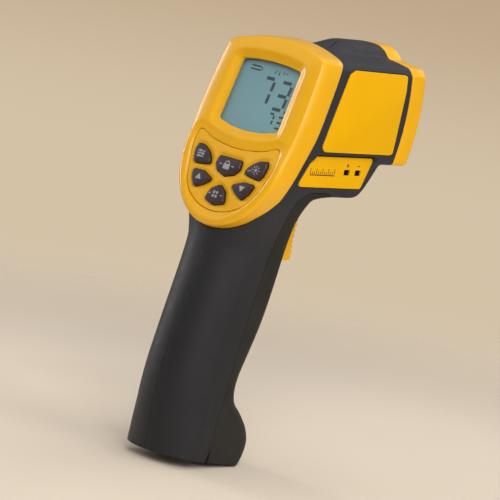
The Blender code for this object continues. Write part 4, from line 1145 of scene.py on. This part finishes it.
class Graph:
    """A material's nodes, with helpers that take a number, a colour or another node's socket for each input."""

    def __init__(self, name):
        self.material = bpy.data.materials.get(name) or bpy.data.materials.new(name)
        self.material.use_nodes = True
        self.tree = self.material.node_tree
        self.tree.nodes.clear()
        self.out = self.tree.nodes.new("ShaderNodeOutputMaterial")
        texture = self.tree.nodes.new("ShaderNodeTexCoord").outputs["Object"]
        self.place = self.add("ShaderNodeVectorMath", {0: texture, "Scale": 1000.0}, operation="SCALE").outputs[0]

    def add(self, kind, inputs=None, **settings):
        node = self.tree.nodes.new(kind)
        for key, value in settings.items():
            setattr(node, key, value)
        for key, value in (inputs or {}).items():
            self.feed(node.inputs[key], value)
        return node

    def feed(self, socket, value):
        if isinstance(value, bpy.types.NodeSocket):
            self.tree.links.new(value, socket)
        elif isinstance(value, (tuple, list)) and len(value) == 3 and socket.type == "RGBA":
            socket.default_value = (*value, 1.0)
        else:
            socket.default_value = value

    def math(self, operation, a, b=0.0, clamp=False):
        return self.add("ShaderNodeMath", {0: a, 1: b}, operation=operation, use_clamp=clamp).outputs[0]

    def noise(self, size, detail=3.0, roughness=0.55, vector=None, distortion=0.0):
        """Noise from 0 to 1 whose features are about size millimetres."""
        node = self.add("ShaderNodeTexNoise", {
            "Vector": vector or self.place, "Scale": 1.0 / size, "Detail": detail, "Roughness": roughness,
            "Distortion": distortion,
        })
        return node.outputs["Fac"]

    def cells(self, size, feature="F1", vector=None):
        node = self.add("ShaderNodeTexVoronoi", {"Vector": vector or self.place, "Scale": 1.0 / size}, feature=feature)
        return node.outputs["Distance"]

    def span(self, value, low, high, to_low=0.0, to_high=1.0):
        node = self.add("ShaderNodeMapRange", {
            "Value": value, "From Min": low, "From Max": high, "To Min": to_low, "To Max": to_high,
        })
        node.clamp = True
        return node.outputs["Result"]

    def mix(self, share, a, b, blend="MIX"):
        node = self.add("ShaderNodeMix", {0: share, 6: a, 7: b}, data_type="RGBA", blend_type=blend)
        return node.outputs[2]

    def axis(self, index):
        return self.add("ShaderNodeSeparateXYZ", {0: self.place}).outputs[index]

    def bump(self, height, depth, normal=None):
        """Bump of depth millimetres."""
        inputs = {"Height": height, "Distance": depth * MM, "Strength": 1.0}
        if normal is not None:
            inputs["Normal"] = normal
        return self.add("ShaderNodeBump", inputs).outputs[0]

    def soft_edges(self, radius):
        return self.add("ShaderNodeBevel", {"Radius": radius * MM}, samples=4).outputs[0]

    def edges(self, radius):
        """0 on open surface, rising to 1 on an edge."""
        soft = self.soft_edges(radius)
        flat = self.tree.nodes.new("ShaderNodeNewGeometry").outputs["Normal"]
        facing = self.add("ShaderNodeVectorMath", {0: soft, 1: flat}, operation="DOT_PRODUCT").outputs["Value"]
        return self.span(facing, 0.995, 0.80)

    def principled(self, **inputs):
        names = {
            "colour": "Base Color", "roughness": "Roughness", "metallic": "Metallic", "normal": "Normal",
            "coat": "Coat Weight", "coat_roughness": "Coat Roughness", "sheen": "Sheen Weight",
            "sheen_roughness": "Sheen Roughness", "subsurface": "Subsurface Weight",
            "subsurface_scale": "Subsurface Scale", "subsurface_radius": "Subsurface Radius", "specular": "Specular IOR Level",
            "transmission": "Transmission Weight", "ior": "IOR", "emission": "Emission Color",
            "emission_strength": "Emission Strength", "anisotropic": "Anisotropic",
        }
        shader = self.add("ShaderNodeBsdfPrincipled", {names[key]: value for key, value in inputs.items()})
        return shader.outputs[0]

    def finish(self, shader):
        self.tree.links.new(shader, self.out.inputs["Surface"])
        return self.material


def tint(colour, factor):
    return tuple(min(1.0, c * factor) for c in colour)


def plastic(name, colour, roughness, grain=0.35, depth=0.012, mottle=0.08, coat=0.0, sheen=0.0, subsurface=0.0,
            edge_radius=0.25, edge_wear_and_highlight=1.25, dust=0.0, specular=0.5, painted_hand_shade=1.0):
    """Moulded plastic: spark-eroded grain, faint flow mottling, polished edges lightened partly as wear and partly as
    painted highlight, and painted shade of a holding hand that darkens it towards the foot.
    """
    g = Graph(name)
    broad = g.noise(22.0, 2.0)
    fine = g.noise(1.6, 4.0, 0.6)
    base = g.mix(g.span(broad, 0.3, 0.7), tint(colour, 1 - mottle), tint(colour, 1 + mottle))
    base = g.mix(g.math("MULTIPLY", g.span(fine, 0.35, 0.75), 0.35), base, tint(colour, 1 - 1.4 * mottle))
    # Painted shade of the holding hand: darker from a height of 145 mm down to 70 mm and below.
    if painted_hand_shade < 1:
        base = g.mix(g.span(g.axis(2), 70.0, 145.0, 0.8, 0.0), base, tint(colour, painted_hand_shade))
    # Edges lightened in patches: partly rubbed wear, partly a painted highlight.
    edge = g.edges(edge_radius * 1.6)
    worn_and_highlit = g.math("MULTIPLY", edge, g.span(g.noise(3.5, 3.0), 0.35, 0.65, 0.35, 1.0))
    base = g.mix(g.math("MULTIPLY", worn_and_highlit, 0.55), base, tint(colour, edge_wear_and_highlight))
    if dust:
        up = g.add("ShaderNodeSeparateXYZ", {0: g.tree.nodes.new("ShaderNodeNewGeometry").outputs["Normal"]}).outputs[2]
        film = g.math("MULTIPLY", g.span(up, 0.2, 1.0), g.span(g.noise(6.0, 5.0, 0.65), 0.45, 0.8))
        base = g.mix(g.math("MULTIPLY", film, dust), base, (0.55, 0.5, 0.44))
    rough = g.span(g.noise(5.0, 4.0, 0.6), 0.3, 0.7, roughness - 0.05, roughness + 0.06)
    rough = g.math("SUBTRACT", rough, g.math("MULTIPLY", worn_and_highlit, 0.08), True)
    grained = g.math("ADD", g.noise(grain, 2.0, 0.7), g.math("MULTIPLY", g.cells(grain * 1.7), 0.35))
    normal = g.bump(grained, depth, g.soft_edges(edge_radius))
    normal = g.bump(g.noise(9.0, 2.0), 0.05, normal)
    return g.finish(g.principled(
        colour=base, roughness=rough, normal=normal, coat=coat, coat_roughness=0.25, sheen=sheen,
        sheen_roughness=0.5, subsurface=subsurface, subsurface_scale=0.002,
        subsurface_radius=(1.0, 0.55, 0.15), specular=specular,
    ))


def metal(name, colour, roughness, grain=0.25, streak=(1.0, 1.0, 1.0), mottle=0.08):
    g = Graph(name)
    stretched = g.add("ShaderNodeVectorMath", {0: g.place, 1: streak}, operation="MULTIPLY").outputs[0]
    lines = g.noise(grain, 4.0, 0.7, stretched)
    base = g.mix(g.span(g.noise(4.0), 0.3, 0.7), tint(colour, 1 - mottle), tint(colour, 1 + mottle))
    rough = g.span(lines, 0.25, 0.75, roughness - 0.08, roughness + 0.12)
    normal = g.bump(lines, 0.004, g.soft_edges(0.08))
    return g.finish(g.principled(colour=base, roughness=rough, metallic=1.0, normal=normal))


def board(name, colour, trace):
    """A circuit board: solder mask over copper tracks, with a grid of plated holes."""
    g = Graph(name)
    cells = g.cells(2.4, "DISTANCE_TO_EDGE")
    tracks = g.span(cells, 0.03, 0.05)
    holes = g.span(g.cells(3.1), 0.1, 0.13)
    base = g.mix(tracks, trace, colour)
    base = g.mix(holes, (0.6, 0.56, 0.42), base)
    base = g.mix(g.math("MULTIPLY", g.noise(0.8, 3.0), 0.2), base, tint(colour, 0.5))
    normal = g.bump(tracks, 0.03)
    return g.finish(g.principled(colour=base, roughness=g.span(g.noise(3.0), 0.3, 0.7, 0.28, 0.42), normal=normal, coat=0.3))


def rubber(name, colour, roughness=0.75, grain=0.3, depth=0.02):
    g = Graph(name)
    base = g.mix(g.span(g.noise(7.0, 3.0), 0.3, 0.7), tint(colour, 0.85), tint(colour, 1.2))
    normal = g.bump(g.noise(grain, 3.0, 0.7), depth, g.soft_edges(0.15))
    rough = g.span(g.noise(2.5), 0.3, 0.7, roughness - 0.06, min(1.0, roughness + 0.08))
    return g.finish(g.principled(colour=base, roughness=rough, normal=normal, sheen=0.25, sheen_roughness=0.6))


def clear_film(name, colour, strength=1.0, roughness=0.03):
    """A thin clear window: see-through, with a sharp reflection that grows towards grazing angles."""
    g = Graph(name)
    facing = g.add("ShaderNodeFresnel", {"IOR": 1.45}).outputs[0]
    marks = g.span(g.noise(4.0, 5.0, 0.7), 0.45, 0.8, roughness, roughness + 0.1)
    gloss = g.add("ShaderNodeBsdfGlossy", {"Color": (1.0, 1.0, 1.0), "Roughness": marks}).outputs[0]
    through = g.add("ShaderNodeBsdfTransparent", {"Color": colour}).outputs[0]
    outside = g.math("SUBTRACT", 1.0, g.tree.nodes.new("ShaderNodeNewGeometry").outputs["Backfacing"])
    share = g.math("MULTIPLY", g.math("MULTIPLY", facing, outside), strength, True)
    return g.finish(g.add("ShaderNodeMixShader", {0: share, 1: through, 2: gloss}).outputs[0])


def display_cell(name):
    """The liquid-crystal cell: a pale reflector seen through polarised glass, with painted shade towards its top and
    painted light towards its right side.
    """
    g = Graph(name)
    # Painted shade: the cell darkens towards its top.
    shade_towards_top = g.span(g.axis(2), 155.0, 195.0)
    base = g.mix(shade_towards_top, (0.260, 0.450, 0.540), (0.235, 0.420, 0.510))
    base = g.mix(g.math("MULTIPLY", g.noise(0.25, 3.0, 0.7), 0.22), base, (0.175, 0.345, 0.395))
    # Painted light: the cell lightens towards its right side.
    across = g.span(g.axis(0), -20.0, 20.0)
    base = g.mix(g.math("MULTIPLY", across, 0.25), base, (0.28, 0.48, 0.54))
    normal = g.bump(g.noise(0.2, 2.0), 0.003)
    return g.finish(g.principled(colour=base, roughness=0.42, normal=normal, coat=0.15, coat_roughness=0.1))


def ink(name, colour, roughness=0.55):
    g = Graph(name)
    base = g.mix(g.span(g.noise(0.5, 4.0, 0.7), 0.35, 0.75), colour, tint(colour, 0.7))
    return g.finish(g.principled(colour=base, roughness=g.span(g.noise(1.0), 0.3, 0.7, roughness - 0.08, roughness + 0.1)))


def film(name, colour):
    """Printed polycarbonate film: an even colour under a faint velvet texture, with a painted highlight along its
    edges.
    """
    g = Graph(name)
    base = g.mix(g.span(g.noise(30.0, 2.0), 0.3, 0.7), tint(colour, 0.97), tint(colour, 1.03))
    base = g.mix(g.math("MULTIPLY", g.noise(0.35, 3.0, 0.7), 0.12), base, tint(colour, 0.8))
    # Painted highlight: the film is lighter along its edges.
    edge = g.edges(0.3)
    base = g.mix(g.math("MULTIPLY", edge, 0.5), base, tint(colour, 1.2))
    normal = g.bump(g.noise(0.28, 2.0, 0.6), 0.006, g.soft_edges(0.1))
    return g.finish(g.principled(colour=base, roughness=g.span(g.noise(8.0), 0.3, 0.7, 0.42, 0.52), normal=normal, specular=0.12))


def battery_jacket(name):
    """A plain two-tone jacket: dark below, copper band above, with a rolled steel seam."""
    g = Graph(name)
    seat = g.add("ShaderNodeSeparateXYZ", {0: g.place})
    height = g.math("ADD", seat.outputs[2], g.math("MULTIPLY", seat.outputs[1], 0.149))
    band = g.span(height, 44.0, 44.4)
    base = g.mix(band, (0.012, 0.03, 0.085), (0.55, 0.22, 0.07))
    line = g.math("MULTIPLY", g.span(height, 43.0, 43.2), g.span(height, 44.0, 43.8))
    base = g.mix(line, base, (0.75, 0.74, 0.70))
    base = g.mix(g.math("MULTIPLY", g.noise(1.2, 4.0, 0.7), 0.2), base, (0.02, 0.02, 0.03))
    normal = g.bump(g.noise(3.0, 3.0), 0.03, g.soft_edges(0.3))
    return g.finish(g.principled(colour=base, roughness=g.span(g.noise(2.0), 0.3, 0.7, 0.25, 0.38), metallic=0.55, normal=normal))


def lens_coating(name):
    g = Graph(name)
    facing = g.add("ShaderNodeLayerWeight", {"Blend": 0.35}).outputs["Facing"]
    base = g.mix(facing, (0.05, 0.035, 0.085), (0.16, 0.22, 0.30))
    radius = g.add("ShaderNodeVectorMath", {0: g.place, 1: (0.0, 0.0, OPTIC_Z)}, operation="SUBTRACT").outputs[0]
    rings = g.add("ShaderNodeTexWave", {"Vector": radius, "Scale": 0.9, "Distortion": 0.0}, wave_type="RINGS",
                  rings_direction="Y").outputs["Fac"]
    normal = g.bump(rings, 0.004)
    return g.finish(g.principled(colour=base, roughness=0.12, metallic=0.55, normal=normal, coat=1.0, coat_roughness=0.03))


def floor_finish(name, colour):
    """Pale seamless paper that fades out with distance, so that no edge shows."""
    g = Graph(name)
    base = g.mix(g.noise(60.0, 3.0), tint(colour, 0.97), tint(colour, 1.02))
    paper = g.principled(colour=base, roughness=0.85, normal=g.bump(g.noise(0.8, 4.0, 0.7), 0.05), specular=0.2)
    flat = g.add("ShaderNodeVectorMath", {0: g.place}, operation="LENGTH").outputs["Value"]
    share = g.span(flat, 180.0, 620.0)
    fade = g.add("ShaderNodeMapRange", {"Value": share, "From Min": 0.0, "From Max": 1.0}, interpolation_type="SMOOTHSTEP").outputs[0]
    clear = g.add("ShaderNodeBsdfTransparent").outputs[0]
    return g.finish(g.add("ShaderNodeMixShader", {0: fade, 1: paper, 2: clear}).outputs[0])


# The scene


def dress(obj, material):
    obj.data.materials.clear()
    obj.data.materials.append(material)
    return obj


def stand_for(obj, name, body, slot, material, *nodes):
    """obj becomes the shown piece for nodes: it gets its name, rides on body and takes material as its finish; slot is
    not used.
    """
    obj.name = name
    dress(obj, material)
    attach(obj, body)
    if nodes:
        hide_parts(*nodes)
    return obj


def area_light(name, place, target, size, power, colour=(1.0, 1.0, 1.0), height=None):
    data = bpy.data.lights.new(name, "AREA")
    data.energy = power
    data.color = colour
    data.size = size
    if height:
        data.shape = "RECTANGLE"
        data.size_y = height
    lamp = bpy.data.objects.new(name, data)
    lamp.location = place
    lamp.rotation_euler = (Vector(target) - Vector(place)).to_track_quat("-Z", "Y").to_euler()
    bpy.context.scene.collection.objects.link(lamp)
    return lamp


def camera():
    """The photograph's view: from behind, to the right and a little above, rolled so that the object leans right."""
    azimuth, elevation, roll = math.radians(40.0), math.radians(8.17), math.radians(10.74)
    target = Vector((0.0, -12.6, 100.2)) * MM
    back = Vector((math.sin(azimuth) * math.cos(elevation), -math.cos(azimuth) * math.cos(elevation), math.sin(elevation)))
    level = Vector((math.cos(azimuth), math.sin(azimuth), 0.0))
    upright = back.cross(level)
    right = level * math.cos(roll) + upright * math.sin(roll)
    up = upright * math.cos(roll) - level * math.sin(roll)
    data = bpy.data.cameras.new("camera")
    data.lens = 36.0 * 3276.0 / 500.0
    data.sensor_width = 36.0
    data.clip_start = 0.05
    data.clip_end = 50.0
    made = bpy.data.objects.new("camera", data)
    place = target + back * 1.538
    made.matrix_world = Matrix((
        (right.x, up.x, back.x, place.x),
        (right.y, up.y, back.y, place.y),
        (right.z, up.z, back.z, place.z),
        (0.0, 0.0, 0.0, 1.0),
    ))
    bpy.context.scene.collection.objects.link(made)
    bpy.context.scene.camera = made
    return made


def studio():
    """Soft dome light, a warm backdrop that only the camera sees, and a pale floor."""
    world = bpy.data.worlds.new("studio")
    bpy.context.scene.world = world
    world.use_nodes = True
    tree = world.node_tree
    tree.nodes.clear()
    out = tree.nodes.new("ShaderNodeOutputWorld")
    mixer = tree.nodes.new("ShaderNodeMixShader")
    rays = tree.nodes.new("ShaderNodeLightPath")
    dome = tree.nodes.new("ShaderNodeBackground")
    shown = tree.nodes.new("ShaderNodeBackground")
    where = tree.nodes.new("ShaderNodeTexCoord")
    split = tree.nodes.new("ShaderNodeSeparateXYZ")
    tree.links.new(where.outputs["Generated"], split.inputs[0])
    for background, stops in (
        (dome, ((0.0, (0.52, 0.46, 0.38)), (0.48, (0.60, 0.55, 0.48)), (0.62, (0.80, 0.80, 0.80)), (1.0, (1.0, 1.0, 1.0)))),
        (shown, ((0.0, (0.80, 0.70, 0.56)), (0.44, (0.66, 0.54, 0.39)), (0.48, (0.50, 0.37, 0.24)), (0.53, (0.44, 0.295, 0.172)),
                 (1.0, (0.42, 0.28, 0.16)))),
    ):
        level = tree.nodes.new("ShaderNodeMapRange")
        level.inputs["From Min"].default_value = -1.0
        level.inputs["From Max"].default_value = 1.0
        tree.links.new(split.outputs[2], level.inputs["Value"])
        ramp = tree.nodes.new("ShaderNodeValToRGB")
        ramp.color_ramp.interpolation = "EASE"
        while len(ramp.color_ramp.elements) < len(stops):
            ramp.color_ramp.elements.new(0.5)
        for element, (place, colour) in zip(ramp.color_ramp.elements, stops):
            element.position = place
            element.color = (*colour, 1.0)
        tree.links.new(level.outputs[0], ramp.inputs[0])
        tree.links.new(ramp.outputs[0], background.inputs["Color"])
    dome.inputs["Strength"].default_value = 0.30
    tree.links.new(rays.outputs["Is Camera Ray"], mixer.inputs[0])
    tree.links.new(dome.outputs[0], mixer.inputs[1])
    tree.links.new(shown.outputs[0], mixer.inputs[2])
    tree.links.new(mixer.outputs[0], out.inputs[0])

    middle = (0.0, 0.0, 0.11)
    area_light("key", (1.0, -0.95, 0.95), middle, 0.9, 15.0, (1.0, 0.985, 0.96))
    area_light("fill", (-0.95, -0.75, 1.05), middle, 0.9, 1.6, (1.0, 0.985, 0.96))
    area_light("side", (1.25, 0.1, 0.55), middle, 0.9, 5.5, (1.0, 0.98, 0.95))
    area_light("top", (0.1, 0.35, 1.35), middle, 1.0, 5.0)
    area_light("strip", (-1.45, -0.25, 0.38), middle, 0.22, 7.0, (1.0, 0.985, 0.96), 0.7)
    area_light("front", (0.1, 1.3, 0.6), middle, 0.9, 3.0, (1.0, 0.98, 0.95))

    rings = [[(radius * x, radius * y, level) for x, y in circle(1.0, 96)] for radius, level in ((1300.0, -2.0), (1300.0, 0.0))]
    floor = loft("floor", rings)
    dress(floor, floor_finish("pale_floor", (0.77, 0.665, 0.54)))


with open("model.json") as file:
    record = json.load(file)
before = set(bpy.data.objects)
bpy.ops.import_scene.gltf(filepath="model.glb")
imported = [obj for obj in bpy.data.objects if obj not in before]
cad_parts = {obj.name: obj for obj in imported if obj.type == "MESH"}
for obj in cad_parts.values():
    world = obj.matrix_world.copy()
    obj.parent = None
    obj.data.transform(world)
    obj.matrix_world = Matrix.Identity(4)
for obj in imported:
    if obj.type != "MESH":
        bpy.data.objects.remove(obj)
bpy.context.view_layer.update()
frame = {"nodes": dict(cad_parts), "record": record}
nodes = frame["nodes"]

YELLOW = (0.90, 0.455, 0.003)
finishes = {
    "casing_yellow": plastic("satin_yellow", YELLOW, 0.34, grain=0.22, depth=0.004, mottle=0.035, coat=0.35,
                             edge_wear_and_highlight=1.15, specular=0.30),
    "casing_grey": plastic("moulded_grey", (0.034, 0.033, 0.038), 0.52, grain=0.34, depth=0.014, mottle=0.10,
                           edge_radius=0.3, edge_wear_and_highlight=1.7, dust=0.01, specular=0.20, painted_hand_shade=0.5),
    "grip_grey": plastic("soft_touch_grey", (0.024, 0.0215, 0.0200), 0.60, grain=0.26, depth=0.010, mottle=0.12,
                         edge_wear_and_highlight=1.7, dust=0.01, specular=0.16),
    "label_yellow": film("label_film", (0.88, 0.455, 0.0)),
    "key_rubber": plastic("key_plastic", (0.036, 0.021, 0.027), 0.42, grain=0.2, depth=0.006, mottle=0.15,
                          edge_radius=0.3, edge_wear_and_highlight=3.2),
    "rubber": rubber("rubber_mat", (0.02, 0.02, 0.02)),
    "foam": rubber("foam_pad", (0.05, 0.05, 0.05), 0.92, 0.9, 0.12),
    "clear_window": clear_film("display_window", (0.93, 0.965, 0.96)),
    "lcd_grey": display_cell("display_cell"),
    "white_plastic": plastic("white_plastic", (0.80, 0.81, 0.78), 0.45, mottle=0.02, subsurface=0.1, edge_wear_and_highlight=1.05),
    "board_green": board("solder_mask", (0.008, 0.10, 0.035), (0.02, 0.20, 0.06)),
    "black_plastic": plastic("black_plastic", (0.014, 0.014, 0.015), 0.46, grain=0.3, depth=0.010, mottle=0.12, edge_wear_and_highlight=2.2),
    "infrared_lens": lens_coating("lens_coating"),
    "steel": metal("bright_steel", (0.56, 0.57, 0.59), 0.28),
    "brass": metal("turned_brass", (0.72, 0.50, 0.20), 0.26, streak=(1.0, 6.0, 1.0)),
    "battery_case": battery_jacket("battery_jacket"),
    "wire_red": rubber("red_wire", (0.45, 0.015, 0.012), 0.42, 0.8, 0.01),
    "wire_black": rubber("black_wire", (0.015, 0.015, 0.015), 0.45, 0.8, 0.01),
}
for row in frame["record"]["subparts"]:
    dress(nodes[row["node"]], finishes[row["material_slot"]])

blank, door_blank = casing_blank()
boss_room = join(level_foot(loft("boss_room", handle_sections(0.8, 3)), 0.8), head_solid("boss_head", 0.8))
for word, side in (("left", -1), ("right", 1)):
    made = shell(f"casing_{word}", side, blank, boss_room)
    stand_for(made, f"casing_{word}", "casing", "casing_grey", finishes["casing_grey"], f"shell_{word}")
door = battery_door(door_blank)
stand_for(door, "grip_front", "door_body", "grip_grey", finishes["grip_grey"], "battery_door")
for guide in (blank, boss_room):
    bpy.data.objects.remove(guide)

stand_for(display_bezel(), "bezel_moulding", "casing", "casing_yellow", finishes["casing_yellow"], "display_bezel")
stand_for(keypad_plate(), "keypad_inlay", "casing", "casing_yellow", finishes["casing_yellow"], "keypad_plate")
key_ink = ink("key_print", (0.42, 0.39, 0.40))
for name, outline, side in KEYS:
    key = key_cap(name, outline, side)
    marks = drop_on(flat_marks(f"key_{name}_mark", key_marks(name), 2.0), key)
    stand_for(key, f"key_{name}_cap", f"key_{name}", "key_rubber", finishes["key_rubber"], f"button_{name}")
    stand_for(marks, f"key_{name}_print", f"key_{name}", "key_rubber", key_ink)

strong, faint = display_marks()
for name, outlines, colour, level in (
    ("reading", strong, (0.012, 0.050, 0.060), -5.2),
    ("faint_signs", faint, (0.06, 0.14, 0.155), -5.2),
):
    marks = thin_marks(name, outlines, -5.29, level, place_face)
    stand_for(marks, f"display_{name}", "casing", "lcd_grey", ink(f"display_{name}_ink", colour, 0.4))

stand_for(nose_bezel(), "nose_frame", "casing", "casing_yellow", finishes["casing_yellow"], "nose_bezel")
stand_for(nose_panel(), "nose_insert", "casing", "black_plastic", finishes["black_plastic"], "nose_panel")
stand_for(lens_ring(), "lens_ring_turned", "casing", "black_plastic", finishes["black_plastic"], "lens_ring")
stand_for(lens_barrel(), "lens_barrel_turned", "casing", "black_plastic", finishes["black_plastic"], "lens_barrel")
stand_for(infrared_lens(), "infrared_lens_ground", "casing", "infrared_lens", finishes["infrared_lens"], "infrared_lens")
stand_for(laser_window(), "laser_window_disc", "casing", "clear_window", clear_film("laser_filter", (0.85, 0.25, 0.2)),
          "laser_window")
for film_piece, node in labels():
    stand_for(film_piece, film_piece.name, "casing", "label_yellow", finishes["label_yellow"], node)
stand_for(label_marks(), "range_label_print", "casing", "label_yellow", ink("label_print", (0.03, 0.022, 0.016)))

stand_for(trigger(), "trigger_moulding", "trigger_body", "casing_yellow", finishes["casing_yellow"], "trigger")
stand_for(pin("trigger_pin_turned", (TRIGGER_Y, TRIGGER_Z), 1.5, 12.5), "trigger_pin_turned", "casing", "steel",
          finishes["steel"], "trigger_pin")
stand_for(pin("door_pin_turned", (HINGE_Y, HINGE_Z), 0.9, 14.0), "door_pin_turned", "casing", "steel",
          finishes["steel"], "door_hinge_pin")
for word, centre in zip(("foot", "grip", "neck", "nose", "crown"), SCREWS):
    stand_for(screw(f"screw_{word}_turned", centre), f"screw_{word}_turned", "casing", "steel", finishes["steel"],
              f"screw_{word}")

camera()
studio()
bpy.context.scene.view_settings.view_transform = "Standard"
